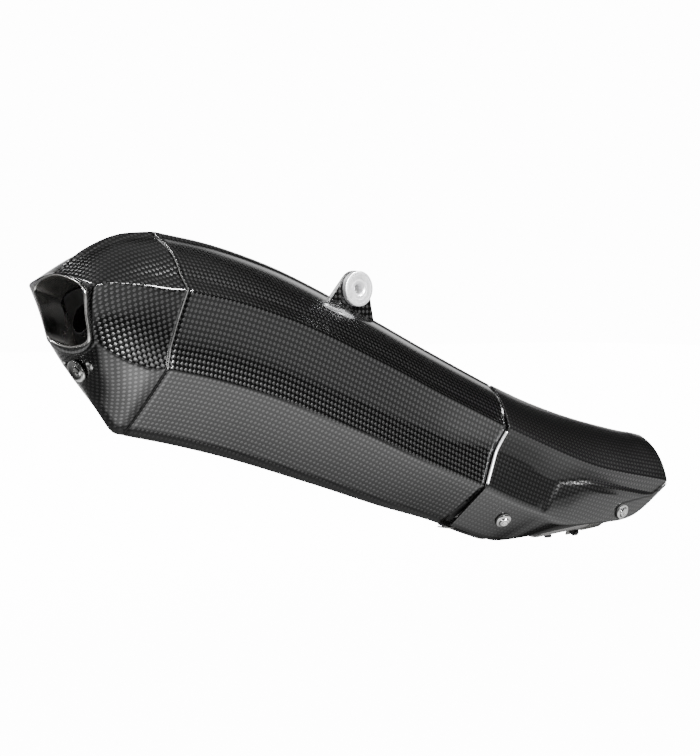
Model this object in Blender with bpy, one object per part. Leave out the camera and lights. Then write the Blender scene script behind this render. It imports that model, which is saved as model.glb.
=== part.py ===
"""Motorcycle slip-on exhaust muffler: hexagonal carbon sleeve and end cap, steel inside, carbon heat shield.

Frame: the muffler as it hangs on the right side of a motorcycle. +X is forward (the inlet end), +Z is up,
-Y points away from the motorcycle. The origin is on the hanger bolt's axis, in the muffler's middle plane.
All lengths below are millimetres and all angles degrees; MM turns them into metres when a mesh is made.
"""
import math

import bmesh
import bpy
from mathutils import Matrix, Vector

MM = 0.001
FIT_GAP = 0.3              # clearance between pieces that touch on the real muffler

# ---------------------------------------------------------------- driving dimensions
# The body's cross section is a hexagon standing on a corner. A station names the section plane by its top
# ridge (x, z) and its bottom ridge (x, z), then the hexagon's corners: half width, and height as a share of
# the distance from the bottom ridge to the top ridge.
STATION_NAMES = ("top_x", "top_z", "bottom_x", "bottom_z",
                 "shoulder_y", "shoulder_f",      # widest corner, the upper ridge
                 "waist_y", "waist_f",            # narrowest place of the hollow side face
                 "lower_y", "lower_f",            # corner between the side face and the lower face
                 "crown", "belly",                # bulge of the upper face and of the lower face
                 "band_y", "band_h")              # bevel band above the shoulder
END_CAP_STATIONS = (
    (0.00, (-302.5, 14.0, -287.0, -51.0, 46.0, 0.835, 36.0, 0.45, 33.0, 0.160, 1.0, 3.5, 3.0, 2.0)),
    (0.35, (-276.0, 31.8, -277.0, -72.0, 50.0, 0.742, 39.5, 0.44, 37.5, 0.225, 3.0, 5.0, 7.0, 6.0)),
    (0.70, (-241.5, 44.0, -260.5, -100.2, 54.5, 0.712, 43.5, 0.44, 43.0, 0.292, 4.0, 3.5, 10.0, 9.0)),
    (0.88, (-221.9, 45.6, -248.5, -113.2, 56.6, 0.714, 44.9, 0.44, 45.0, 0.322, 4.0, 2.2, 11.3, 10.3)),
    (1.00, (-208.7, 46.0, -238.5, -115.6, 57.8, 0.715, 45.6, 0.43, 46.0, 0.332, 4.0, 0.8, 12.0, 11.0)),
)
SLEEVE_STATIONS = (
    (1.00, (-208.7, 46.0, -238.5, -115.8, 57.8, 0.715, 45.6, 0.43, 46.0, 0.332, 4.0, 0.8, 12.0, 11.0)),
    (1.25, (-154.0, 36.5, -192.0, -124.8, 56.3, 0.714, 45.0, 0.44, 45.4, 0.328, 4.0, 0.8, 10.5, 10.0)),
    (1.50, (-99.7, 21.8, -144.0, -135.8, 54.5, 0.713, 44.0, 0.45, 44.8, 0.325, 4.0, 0.8, 9.0, 9.0)),
    (2.00, (4.0, -19.0, -48.5, -162.5, 49.5, 0.712, 41.0, 0.47, 43.0, 0.315, 3.8, 0.8, 7.5, 8.0)),
    (2.50, (80.0, -52.5, 24.5, -184.3, 45.2, 0.710, 37.8, 0.49, 41.0, 0.300, 3.6, 0.8, 6.5, 7.0)),
    (3.00, (156.0, -85.0, 98.6, -205.0, 40.8, 0.709, 34.6, 0.52, 38.7, 0.282, 3.5, 0.8, 5.5, 6.5)),
    (3.20, (186.0, -97.5, 128.0, -216.0, 40.8, 0.709, 36.0, 0.52, 38.5, 0.282, 3.5, 0.8, 5.5, 6.5)),
)
RIM_STATION, SEAM_STATION = 0.0, 1.0
CAP_FRONT, SLEEVE_REAR, SLEEVE_END = 0.9918, 1.0037, 2.99
RIM_SWEEP = 3.5            # how far forward the outlet rim's widest corners lie
SPINE_Y, SPINE_DROP = 5.5, 4.5      # half width and height of the spine along the top ridge
FULL_CROWN = 4.0           # crown at which the spine has its full size
CARBON_WALL = 1.6

# The heat shield's lines: top ridge (x, z), then shoulder, side, lower corner and bottom edge as (x, y, z).
SHIELD_STATIONS = (
    (0.0, (156.5, -84.8, 140.2, 41.2, -119.5, 129.0, 35.2, -141.7, 115.0, 39.2, -170.8, 101.5, 8.0, -205.5)),
    (1.0, (194.0, -98.8, 180.0, 42.0, -134.8, 169.0, 37.5, -158.0, 151.0, 38.6, -186.4, 135.0, 8.0, -216.5)),
    (2.0, (230.0, -110.2, 219.0, 42.3, -149.0, 206.0, 38.0, -173.0, 184.2, 38.2, -198.3, 157.5, 8.0, -221.8)),
    (3.0, (259.0, -118.0, 250.0, 42.3, -158.3, 242.0, 41.5, -182.0, 212.0, 35.5, -208.7, 192.0, 18.8, -218.4)),
    (4.0, (286.0, -124.2, 279.0, 42.0, -164.4, 272.0, 41.5, -187.0, 258.0, 35.0, -209.8, 250.0, 24.0, -211.5)),
    (5.0, (313.0, -129.8, 307.0, 41.3, -169.5, 302.0, 39.0, -189.0, 291.0, 33.0, -208.5, 285.0, 24.0, -210.5)),
    (6.0, (332.0, -132.8, 326.5, 40.7, -173.0, 323.0, 38.0, -187.0, 313.0, 33.0, -201.0, 310.0, 25.0, -204.5)),
    (7.0, (344.2, -135.4, 339.5, 40.0, -175.5, 339.0, 39.8, -178.0, 338.0, 39.2, -180.5, 335.0, 34.0, -183.5)),
)
SHIELD_START, SHIELD_END = 0.03, 7.0
SHIELD_WALL = 1.8
SHIELD_CROWN_REAR, SHIELD_CROWN_FRONT = 3.8, 7.0

# Outlet mouth: a plane through the liner's top and bottom edge, and the liner's outline in that plane as
# (half width, height above the bottom edge), from the top down.
MOUTH_TOP = (-302.4, 12.5)
MOUTH_BOTTOM = (-288.8, -45.8)
MOUTH_OUTLINE = ((0.0, 59.4), (9.0, 58.6), (18.0, 56.6), (26.5, 53.8), (32.5, 50.2), (35.2, 44.6),
                 (33.2, 36.5), (30.8, 26.0), (29.5, 12.0), (23.5, 4.0), (0.0, 0.0))
LINER_WALL = 1.2
DAMPER_DEPTH, DAMPER_TUBE_LENGTH, DAMPER_TUBE_RADIUS, DAMPER_CLEARANCE = 27.0, 62.0, 13.0, 1.6
LIP_DEPTH = 5.0            # how far the end cap's return flange reaches into the mouth

# Gas path: a straight axis from the middle of the mouth down to the inlet cone.
AXIS_ORIGIN = (-295.6, 0.0, -16.7)
AXIS_PITCH = 17.25
CORE_RADIUS, CORE_WALL = 24.0, 1.2
CORE_START, CORE_END = 80.5, 437.0
HOLE_ROWS, HOLE_PAIRS, HOLE_RADIUS, HOLES_FROM_END = 7, 4, 3.2, 40.0
WOOL_THICKNESS = 3.0
BULKHEAD_REAR, BULKHEAD_FRONT = 1.06, 2.90
BULKHEAD_THICKNESS = 2.0

PIPE_START = (207.0, 0.0, -196.3)
PIPE_END = (300.3, 0.0, -187.1)
PIPE_RADIUS, PIPE_WALL = 26.6, 1.5

# The inlet cone goes from the hexagon to the pipe: (blend to round, centre x, centre z, pitch, round radius).
CONE_STATIONS = ((0.30, 158.0, -162.0, 23.0, 40.0), (0.70, 174.0, -174.5, 16.0, 34.0),
                 (1.00, 190.0, -188.5, 6.0, 28.5), (1.00, 202.0, -196.5, -5.6, 24.6),
                 (1.00, 216.0, -195.4, -5.6, 24.6))
CONE_WALL = 1.2

CLAMP_AT, CLAMP_WIDTH = 57.0, 14.5          # distance from the pipe's start, and the band's width
CLAMP_INNER, CLAMP_OUTER = 27.2, 29.0
CLAMP_ROLL = 31.5          # the clamp's ears point down and to the left by this much
CLAMP_EAR_GAP, CLAMP_EAR, CLAMP_EAR_END = 1.5, 1.8, 38.5
CLAMP_BOLT_DROP = 34.3

# Hanger: boss on the origin, and a blade whose foot stands on the sleeve's top ridge.
BOSS_RADIUS, BOSS_BORE = 15.0, 4.3
BOSS_FACE_Y, BOSS_BACK_Y, BOSS_TAIL_Y = -7.2, -2.2, 4.7
BOSS_SHANK = 6.3
BLADE_HEAD = 15.3
BLADE_FOOT_FRONT, BLADE_FOOT_REAR = (19.4, -27.4), (-26.3, -6.5)      # (x, z) on the top ridge
BLADE_ROOT = 12.0          # depth of the blade below the top ridge
BLADE_RIGHT_Y, BLADE_LEFT_Y = -1.1, 1.9
FOOT_LENGTH, FOOT_THICKNESS, FOOT_WIDTH = 56.0, 2.0, 22.0
GROMMET_RADIUS = 9.5
FACING_THICKNESS, FACING_LIFT = 0.5, 2.2

SHIELD_SCREW_REAR, SHIELD_SCREW_FRONT = (1.18, 0.891), (4.585, 0.715)  # (station, share of the half outline)
CAP_FASTENER_STATION = 0.21
CAP_RIVET_SHARE = 0.92
PLUG_AT = 17.6             # distance of the gas test plug from the pipe's start
# Each shield bracket's folded strip as (up the skin, outwards) from its screw, and its width.
BRACKET_PATH = {"rear": ((-6.5, -3.5), (7.0, -3.5), (9.5, -5.3)),
                "front": ((-6.5, -3.5), (6.8, -3.5), (9.2, -12.2))}
BRACKET_THICKNESS = 1.4
BRACKET_WIDTH = {"rear": 12.0, "front": 9.0}

ROUND_SEGMENTS = 24

CARBON = ((0.015, 0.015, 0.017), 0.0, 0.12)
STEEL = ((0.55, 0.54, 0.52), 1.0, 0.32)
BRIGHT = ((0.72, 0.72, 0.71), 1.0, 0.22)
DARK_STEEL = ((0.16, 0.16, 0.16), 1.0, 0.40)
RUBBER = ((0.02, 0.02, 0.02), 0.0, 0.75)
GLASS_WOOL = ((0.80, 0.74, 0.52), 0.0, 0.95)


# ---------------------------------------------------------------- helpers
def clear_scene():
    for thing in list(bpy.data.objects):
        bpy.data.objects.remove(thing, do_unlink=True)


def smooth_row(rows, at):
    """Values at a place along rows of (place, values), on one smooth curve through all of them."""
    keys = [row[0] for row in rows]
    last = len(rows) - 1
    at = min(max(at, keys[0]), keys[last])
    left = max(i for i in range(last) if keys[i] <= at)
    span = keys[left + 1] - keys[left]
    t = (at - keys[left]) / span

    def slope(i, column):
        value = [row[1][column] for row in rows]
        if i == 0:
            return (value[1] - value[0]) / (keys[1] - keys[0])
        if i == last:
            return (value[last] - value[last - 1]) / (keys[last] - keys[last - 1])
        before, after = keys[i] - keys[i - 1], keys[i + 1] - keys[i]
        rise, fall = (value[i] - value[i - 1]) / before, (value[i + 1] - value[i]) / after
        return (rise * after + fall * before) / (before + after)

    result = []
    for column in range(len(rows[0][1])):
        a, b = rows[left][1][column], rows[left + 1][1][column]
        result.append(a * (1 + 2 * t) * (1 - t) ** 2 + slope(left, column) * span * t * (1 - t) ** 2
                      + b * t * t * (3 - 2 * t) + slope(left + 1, column) * span * t * t * (t - 1))
    return result


def station(at):
    rows = END_CAP_STATIONS if at < SEAM_STATION else SLEEVE_STATIONS
    return dict(zip(STATION_NAMES, smooth_row(rows, at)))


def bulged(start, end, share, bulge):
    """A point on the line from start to end, pushed to the left of it by a parabola of that bulge."""
    along = (end[0] - start[0], end[1] - start[1])
    length = math.hypot(*along)
    push = bulge * 4 * share * (1 - share)
    return (start[0] + along[0] * share - along[1] / length * push,
            start[1] + along[1] * share + along[0] / length * push)


def section_height(s):
    return math.hypot(s["top_x"] - s["bottom_x"], s["top_z"] - s["bottom_z"])


def half_outline(s):
    """The hexagon's half outline as (y, height), from the top ridge to the bottom ridge."""
    height = section_height(s)
    shoulder = (s["shoulder_y"], s["shoulder_f"] * height)
    band = (shoulder[0] - s["band_y"], shoulder[1] + s["band_h"])
    spine_share = s["crown"] / FULL_CROWN
    spine = (SPINE_Y * spine_share, height - SPINE_DROP * spine_share)
    waist = (s["waist_y"], s["waist_f"] * height)
    lower = (s["lower_y"], s["lower_f"] * height)
    flare = ((shoulder[0] + waist[0]) / 2 - 1.0, (shoulder[1] + waist[1]) / 2)
    return [(0.0, height), spine,
            bulged(spine, band, 1 / 3, s["crown"]), bulged(spine, band, 2 / 3, s["crown"]),
            band, shoulder, flare, waist, lower,
            bulged(lower, (0.0, 0.0), 0.5, s["belly"]), (0.0, 0.0)]


def both_sides(half):
    """A closed outline from its half, starting at the top and going round by -y."""
    return [(-y, h) for y, h in half] + [(y, h) for y, h in half[-2:0:-1]]


def inset(outline, distance):
    """The closed outline moved inwards by a distance, with mitred corners."""
    count = len(outline)
    area = sum(outline[i][0] * outline[(i + 1) % count][1] - outline[(i + 1) % count][0] * outline[i][1]
               for i in range(count))
    turn = 1.0 if area > 0 else -1.0
    moved = []
    for i in range(count):
        before, here, after = outline[i - 1], outline[i], outline[(i + 1) % count]
        first = Vector((here[0] - before[0], here[1] - before[1])).normalized()
        second = Vector((after[0] - here[0], after[1] - here[1])).normalized()
        normal = Vector((-(first + second).y, (first + second).x)).normalized() * turn
        cosine = max(0.5, normal.dot(Vector((-first.y, first.x)) * turn))
        moved.append((here[0] + normal.x * distance / cosine, here[1] + normal.y * distance / cosine))
    return moved


def section_loop(at, inwards=0.0, sweep=0.0):
    """Points of the body's section at a station, moved inwards from the outer skin."""
    s = station(at)
    height = section_height(s)
    outline = both_sides(half_outline(s))
    if inwards:
        outline = inset(outline, inwards)
    points = []
    for y, h in outline:
        share = h / height
        points.append(Vector((s["bottom_x"] + (s["top_x"] - s["bottom_x"]) * share
                              + sweep * (y / s["shoulder_y"]) ** 2,
                              y,
                              s["bottom_z"] + (s["top_z"] - s["bottom_z"]) * share)))
    return points


def steps(first, last, count):
    return [first + (last - first) * i / (count - 1) for i in range(count)]


def material(name, look):
    colour, metallic, roughness = look
    made = bpy.data.materials.new(name)
    made.use_nodes = True
    shader = made.node_tree.nodes["Principled BSDF"]
    shader.inputs["Base Color"].default_value = (*colour, 1.0)
    shader.inputs["Metallic"].default_value = metallic
    shader.inputs["Roughness"].default_value = roughness
    return made


def add_object(name, bm, look, smooth_angle=35.0):
    """Finish a bmesh drawn in millimetres as a named object in metres."""
    bmesh.ops.recalc_face_normals(bm, faces=bm.faces)
    bmesh.ops.scale(bm, vec=(MM, MM, MM), verts=bm.verts)
    mesh = bpy.data.meshes.new(name)
    bm.to_mesh(mesh)
    bm.free()
    mesh.shade_smooth()
    mesh.set_sharp_from_angle(angle=math.radians(smooth_angle))
    made = bpy.data.objects.new(name, mesh)
    bpy.context.scene.collection.objects.link(made)
    mesh.materials.append(material(name, look))
    return made


def skin_between(bm, first, second):
    """Quads between two closed loops of bmesh vertices."""
    count = len(first)
    for i in range(count):
        j = (i + 1) % count
        bm.faces.new((first[i], first[j], second[j], second[i]))


def ring_body(name, loops, look):
    """A closed ring-shaped solid whose skin runs through the loops in turn and back to the first one."""
    bm = bmesh.new()
    rows = [[bm.verts.new(point) for point in loop] for loop in loops]
    for i, row in enumerate(rows):
        skin_between(bm, row, rows[(i + 1) % len(rows)])
    return add_object(name, bm, look)


def plate_body(name, first, second, look):
    """A solid between two flat loops with the same number of points."""
    bm = bmesh.new()
    ends = [[bm.verts.new(point) for point in loop] for loop in (first, second)]
    skin_between(bm, *ends)
    for end in ends:
        bm.faces.new(end)
    return add_object(name, bm, look)


def extruded(name, outline, thickness, place, look):
    """A flat outline (u, v) extruded along local z from 0 to thickness, then placed."""
    bm = bmesh.new()
    face = bm.faces.new([bm.verts.new((u, v, 0.0)) for u, v in outline])
    grown = bmesh.ops.extrude_face_region(bm, geom=[face])
    top = [v for v in grown["geom"] if isinstance(v, bmesh.types.BMVert)]
    bmesh.ops.translate(bm, vec=(0.0, 0.0, thickness), verts=top)
    bmesh.ops.transform(bm, matrix=place, verts=bm.verts)
    return add_object(name, bm, look)


def turned(name, profile, place, look, segments=ROUND_SEGMENTS):
    """A closed profile of (radius, z) turned about local z, then placed."""
    bm = bmesh.new()
    verts = [bm.verts.new((radius, 0.0, z)) for radius, z in profile]
    edges = [bm.edges.new((verts[i], verts[(i + 1) % len(verts)])) for i in range(len(verts))]
    on_axis = [e for e in edges if all(v.co.x == 0.0 for v in e.verts)]
    bmesh.ops.delete(bm, geom=on_axis, context="EDGES_FACES")
    bmesh.ops.spin(bm, geom=bm.verts[:] + bm.edges[:], cent=(0, 0, 0), axis=(0, 0, 1),
                   angle=math.tau, steps=segments, use_merge=True)
    bmesh.ops.remove_doubles(bm, verts=bm.verts, dist=0.001)
    bmesh.ops.transform(bm, matrix=place, verts=bm.verts)
    return add_object(name, bm, look)


def along_axis(origin, direction, spin=0.0):
    """A placement whose local z points along a direction."""
    turn = Vector(direction).to_track_quat("Z", "Y").to_matrix().to_4x4()
    return Matrix.Translation(Vector(origin)) @ turn @ Matrix.Rotation(math.radians(spin), 4, "Z")


def cut(target, cutter):
    cutter.hide_render = True
    cutter.display_type = "WIRE"
    cutter.hide_set(True)
    boolean = target.modifiers.new("cut_" + cutter.name, "BOOLEAN")
    boolean.operation = "DIFFERENCE"
    boolean.object = cutter


def drill(target, place, radius, length, segments=12):
    """Cut a round hole along local z of a placement, centred on its origin."""
    bit = turned("drill_" + target.name, [(0, -length / 2), (radius, -length / 2), (radius, length / 2),
                                          (0, length / 2)], place, STEEL, segments)
    cut(target, bit)


def skin_frame(surface, at, share, side):
    """Placement on a skin: local z outwards, local y up the skin. Side is 1 on the right, -1 on the left."""
    here = surface(at, share)
    ahead = (surface(at + 0.02, share) - here).normalized()
    outwards = (surface(at, share + 0.01) - here).cross(ahead).normalized()
    if outwards.y > 0:
        outwards = -outwards
    here.y *= side
    outwards.y *= side
    ahead = Vector((ahead.x, ahead.y * side, ahead.z)) * side
    turn = Matrix((ahead, outwards.cross(ahead), outwards)).transposed().to_4x4()
    return Matrix.Translation(here) @ turn


def place_on_polyline(points, share):
    """The point at a share of the number of legs along a polyline."""
    legs = len(points) - 1
    leg = min(int(share * legs), legs - 1)
    return points[leg].lerp(points[leg + 1], share * legs - leg)


# ---------------------------------------------------------------- gas axis and mouth
AXIS = Vector((math.cos(math.radians(AXIS_PITCH)), 0.0, -math.sin(math.radians(AXIS_PITCH))))


def axis_point(distance):
    return Vector(AXIS_ORIGIN) + AXIS * distance


def slide_to_plane(point, plane):
    """The point moved along the gas axis until it meets a plane, given as (point, normal)."""
    origin, normal = plane
    return point + AXIS * ((origin - point).dot(normal) / AXIS.dot(normal))


def up_of_pitch(pitch):
    return Vector((math.sin(math.radians(pitch)), 0.0, math.cos(math.radians(pitch))))


def section_plane(at):
    s = station(at)
    up = Vector((s["top_x"] - s["bottom_x"], 0, s["top_z"] - s["bottom_z"])).normalized()
    return Vector((s["bottom_x"], 0, s["bottom_z"])), Vector((up.z, 0, -up.x))


def mouth_frame():
    top, bottom = Vector((MOUTH_TOP[0], 0, MOUTH_TOP[1])), Vector((MOUTH_BOTTOM[0], 0, MOUTH_BOTTOM[1]))
    up = (top - bottom).normalized()
    return bottom, up, Vector((up.z, 0, -up.x))


def mouth_loop(inwards, depth):
    """The liner's outline moved inwards, at a depth along the gas axis from the mouth's plane."""
    bottom, up, _ = mouth_frame()
    outline = inset(both_sides(MOUTH_OUTLINE), inwards)
    return [bottom + up * h + Vector((0, y, 0)) + AXIS * depth for y, h in outline]


def mouth_plane(depth):
    bottom, _, normal = mouth_frame()
    return bottom + AXIS * depth, normal


# ---------------------------------------------------------------- end cap, sleeve and what joins them
def cap_loop(at, inwards):
    fade = max(0.0, 1.0 - at / 0.35)
    return section_loop(at, inwards, RIM_SWEEP * fade)


def cap_surface(at, share):
    return place_on_polyline(cap_loop(at, 0.0)[:11], share)


def cap_fastener_place(side):
    """Placement of a fastener under the end cap: side 0 is the middle, 1 and -1 the rivets."""
    if side:
        return skin_frame(cap_surface, CAP_FASTENER_STATION, CAP_RIVET_SHARE, side)
    here = cap_surface(CAP_FASTENER_STATION, 1.0)
    ahead = cap_surface(CAP_FASTENER_STATION + 0.02, 1.0) - here
    return along_axis(here, (ahead.z, 0.0, -ahead.x))


def build_end_cap():
    places = steps(CAP_FRONT, RIM_STATION, 9)
    loops = [cap_loop(at, 0.0) for at in places]
    loops.append([p - mouth_frame()[2] * 0.6 for p in cap_loop(RIM_STATION, 0.5)])
    loops.append(mouth_loop(-0.5, -0.2))
    loops.append(mouth_loop(-0.5, LIP_DEPTH))
    loops += [cap_loop(at, CARBON_WALL) for at in reversed(places[:-1])]
    cap = ring_body("end_cap", loops, CARBON)
    drill(cap, cap_fastener_place(0), 3.4, 12.0)
    for side in (-1, 1):
        drill(cap, cap_fastener_place(side), 2.0, 12.0)


def build_outer_sleeve():
    places = steps(SLEEVE_REAR, SLEEVE_END, 12)
    loops = [section_loop(at) for at in places]
    loops += [section_loop(at, CARBON_WALL) for at in reversed(places)]
    sleeve = ring_body("outer_sleeve", loops, CARBON)
    cut(sleeve, blade_slot("slot_in_sleeve", 0.4, CARBON_WALL * 8))


def build_seam_rings():
    under = CARBON_WALL + 2.5 * FIT_GAP
    inner = under + 1.2
    ring_body("rear_seam_ring",
              [section_loop(0.96, under), section_loop(0.995, under), section_loop(0.995, 0.15),
               section_loop(1.002, 0.15), section_loop(1.002, under), section_loop(1.035, under),
               section_loop(1.035, inner), section_loop(0.96, inner)], STEEL)
    ring_body("front_band",
              [section_loop(2.93, under), section_loop(2.982, under), section_loop(2.99, under + 1.6),
               section_loop(3.05, under + 1.6), section_loop(3.05, inner + 1.6),
               section_loop(2.93, inner + 1.6)],
              DARK_STEEL)


def build_bulkheads():
    for name, at in (("rear_bulkhead", BULKHEAD_REAR), ("front_bulkhead", BULKHEAD_FRONT)):
        _, normal = section_plane(at)
        outline = section_loop(at, CARBON_WALL + 2 * FIT_GAP)
        plate = plate_body(name, outline, [p - normal * BULKHEAD_THICKNESS for p in outline], STEEL)
        bore_on_axis(plate, CORE_RADIUS + FIT_GAP)


# ---------------------------------------------------------------- silencing core
def build_core():
    place = along_axis(axis_point(0.0), AXIS)
    inner = CORE_RADIUS - CORE_WALL
    core = turned("core_tube", [(CORE_RADIUS, CORE_START), (CORE_RADIUS, CORE_END), (inner, CORE_END),
                                (inner, CORE_START)], place, STEEL)
    bm = bmesh.new()
    for row, distance in enumerate(steps(CORE_START + HOLES_FROM_END, CORE_END - HOLES_FROM_END, HOLE_ROWS)):
        for turn in range(HOLE_PAIRS):
            spoke = Matrix.Rotation(math.pi * (turn + 0.5 * (row % 2)) / HOLE_PAIRS, 4, "Z")
            tip = Matrix.Translation((0, 0, distance)) @ spoke @ Matrix.Rotation(math.pi / 2, 4, "X")
            bmesh.ops.create_cone(bm, cap_ends=True, segments=6, radius1=HOLE_RADIUS, radius2=HOLE_RADIUS,
                                  depth=3 * CORE_RADIUS, matrix=place @ tip)
    cut(core, add_object("perforation_bits", bm, STEEL))
    wool = CORE_RADIUS + 0.4
    start, end = CORE_START + 12.0, CORE_END - 36.0
    turned("wire_wool_wrap", [(wool + WOOL_THICKNESS, start), (wool + WOOL_THICKNESS, end), (wool, end),
                              (wool, start)], place, DARK_STEEL)


def build_packing():
    places = steps(BULKHEAD_REAR + 0.035, BULKHEAD_FRONT - 0.035, 8)
    loops = [section_loop(at, CARBON_WALL + 1.2) for at in places]
    bm = bmesh.new()
    rows = [[bm.verts.new(point) for point in loop] for loop in loops]
    for first, second in zip(rows, rows[1:]):
        skin_between(bm, first, second)
    bm.faces.new(rows[0])
    bm.faces.new(rows[-1])
    packing = add_object("packing", bm, GLASS_WOOL)
    bore_on_axis(packing, CORE_RADIUS + WOOL_THICKNESS + 1.0)
    cut(packing, blade_slot("pocket_in_packing", 6.0, 2 * BLADE_ROOT + 14.0, 30.0))


def bore_on_axis(target, radius):
    """Cut a round hole for the core tube, all along the gas axis."""
    middle = axis_point((CORE_START + CORE_END) / 2)
    drill(target, along_axis(middle, AXIS), radius, 2 * (CORE_END - CORE_START), ROUND_SEGMENTS)


# ---------------------------------------------------------------- outlet and noise damper
def build_outlet_liner():
    plane = section_plane(BULKHEAD_REAR)
    stop = (plane[0] - plane[1] * (BULKHEAD_THICKNESS + FIT_GAP), plane[1])
    outer, inner = mouth_loop(0.0, 0.0), mouth_loop(LINER_WALL, 0.0)
    liner = ring_body("outlet_liner",
                      [outer, [slide_to_plane(p, stop) for p in outer],
                       [slide_to_plane(p, stop) for p in inner], inner], BRIGHT)
    drill(liner, cap_fastener_place(0), 3.0, 60.0)


def build_noise_damper():
    outline = mouth_loop(LINER_WALL + DAMPER_CLEARANCE, 0.0)
    plate = plate_body("damper_plate", [slide_to_plane(p, mouth_plane(DAMPER_DEPTH)) for p in outline],
                       [slide_to_plane(p, mouth_plane(DAMPER_DEPTH + 2.0)) for p in outline], DARK_STEEL)
    bore_on_axis(plate, DAMPER_TUBE_RADIUS + FIT_GAP)
    place = along_axis(axis_point(0.0), AXIS)
    start, end = DAMPER_DEPTH - 8.0, DAMPER_DEPTH + DAMPER_TUBE_LENGTH
    outer, inner = DAMPER_TUBE_RADIUS, DAMPER_TUBE_RADIUS - 1.0
    turned("damper_tube", [(outer, start), (outer, end), (inner, end), (inner, start)], place, DARK_STEEL)


def build_cap_fasteners():
    turned("damper_screw", [(0, 3.2), (3.6, 3.2), (3.6, 1.6), (7.5, 2.0), (8.9, 3.0), (9.5, 2.6), (9.5, 1.0),
                            (3.0, 1.0), (3.0, -6.0), (2.3, -6.0), (2.3, -18.0), (0, -18.0)][::-1],
           cap_fastener_place(0), BRIGHT)
    for name, side in (("cap_rivet_right", 1), ("cap_rivet_left", -1)):
        turned(name,
               [(0, 1.9), (2.2, 1.7), (3.6, 0.9), (3.6, 0.4), (1.6, 0.4), (1.6, -2.6), (0, -2.6)][::-1],
               cap_fastener_place(side), BRIGHT, 16)


# ---------------------------------------------------------------- inlet
def cone_loop(blend, x, z, pitch, radius, inwards):
    """A loop between the hexagon of the cone's rear part and a circle."""
    s = station(3.10)
    height = section_height(s)
    outline = inset(both_sides(half_outline(s)), 9.0 + inwards)
    loop = []
    for i, (y, h) in enumerate(outline):
        angle = math.atan2(y, h - height / 2)
        flat_y = y * (1 - blend) + (radius - inwards) * math.sin(angle) * blend
        flat_v = (h - height / 2) * (1 - blend) + (radius - inwards) * math.cos(angle) * blend
        loop.append(Vector((x, flat_y, z)) + up_of_pitch(pitch) * flat_v)
    return loop


def build_inlet_cone():
    def skin(inwards):
        loops = [section_loop(2.96, 5.6 + inwards), section_loop(3.03, 5.6 + inwards),
                 section_loop(3.10, 9.0 + inwards)]
        return loops + [cone_loop(*row, inwards) for row in CONE_STATIONS]
    ring_body("inlet_cone", skin(0.0) + skin(CONE_WALL)[::-1], STEEL)


def pipe_place(distance):
    """Placement on the inlet pipe: local z forward along it, local x towards the left side, local y up."""
    start, end = Vector(PIPE_START), Vector(PIPE_END)
    ahead = (end - start).normalized()
    across = Vector((0.0, 1.0, 0.0))
    frame = Matrix((across, ahead.cross(across), ahead)).transposed().to_4x4()
    return Matrix.Translation(start + ahead * distance) @ frame


def build_inlet_pipe():
    length = (Vector(PIPE_END) - Vector(PIPE_START)).length
    inner = PIPE_RADIUS - PIPE_WALL
    pipe = turned("inlet_pipe", [(PIPE_RADIUS, 0.0), (PIPE_RADIUS, length), (inner, length), (inner, 0.0)],
                  pipe_place(0.0), BRIGHT, 32)
    slit = extruded("slit_in_pipe", ((-1.2, -40.0), (1.2, -40.0), (1.2, -15.0), (-1.2, -15.0)), 40.0,
                    pipe_place(length - 28.0), STEEL)
    cut(pipe, slit)
    drill(pipe, pipe_place(PLUG_AT) @ Matrix.Rotation(math.pi / 2, 4, "X") @ Matrix.Translation((0, 0, 26)),
          2.2, 8.0)


def build_clamp():
    def arc(radius, half_gap, count=22):
        start = -math.pi / 2 + math.asin(half_gap / radius)
        sweep = math.tau - 2 * math.asin(half_gap / radius)
        return [(radius * math.cos(start + sweep * i / count), radius * math.sin(start + sweep * i / count))
                for i in range(count + 1)]

    outer_gap = CLAMP_EAR_GAP + CLAMP_EAR
    outline = arc(CLAMP_INNER, CLAMP_EAR_GAP)
    outline += [(-CLAMP_EAR_GAP, -CLAMP_EAR_END), (-outer_gap, -CLAMP_EAR_END)]
    outline += arc(CLAMP_OUTER, outer_gap)[::-1]
    outline += [(outer_gap, -CLAMP_EAR_END), (CLAMP_EAR_GAP, -CLAMP_EAR_END)]
    roll = Matrix.Rotation(math.radians(CLAMP_ROLL), 4, "Z")
    clamp = extruded("inlet_clamp", outline, CLAMP_WIDTH, pipe_place(CLAMP_AT) @ roll, STEEL)
    bolt_place = (pipe_place(CLAMP_AT + CLAMP_WIDTH / 2) @ roll
                  @ Matrix.Translation((0, -CLAMP_BOLT_DROP, 0)) @ Matrix.Rotation(math.pi / 2, 4, "Y"))
    drill(clamp, bolt_place, 2.7, 30.0)
    face = outer_gap + FIT_GAP
    turned("clamp_bolt",
           [(0, -8.6), (2.3, -8.6), (2.3, face), (3.5, face), (3.5, face + 3.0), (0, face + 3.0)],
           bolt_place, DARK_STEEL, 16)
    turned("clamp_nut", [(3.0, -face - 3.2), (4.2, -face - 3.2), (4.2, -face), (3.0, -face)], bolt_place,
           DARK_STEEL, 6)


def build_test_port_plug():
    place = pipe_place(PLUG_AT) @ Matrix.Rotation(math.pi / 2, 4, "X")
    top = PIPE_RADIUS + FIT_GAP
    turned("test_port_plug",
           [(0, 24.5), (1.8, 24.5), (1.8, top), (3.4, top), (3.4, top + 2.2), (0, top + 2.2)],
           place, DARK_STEEL, 12)


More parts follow.
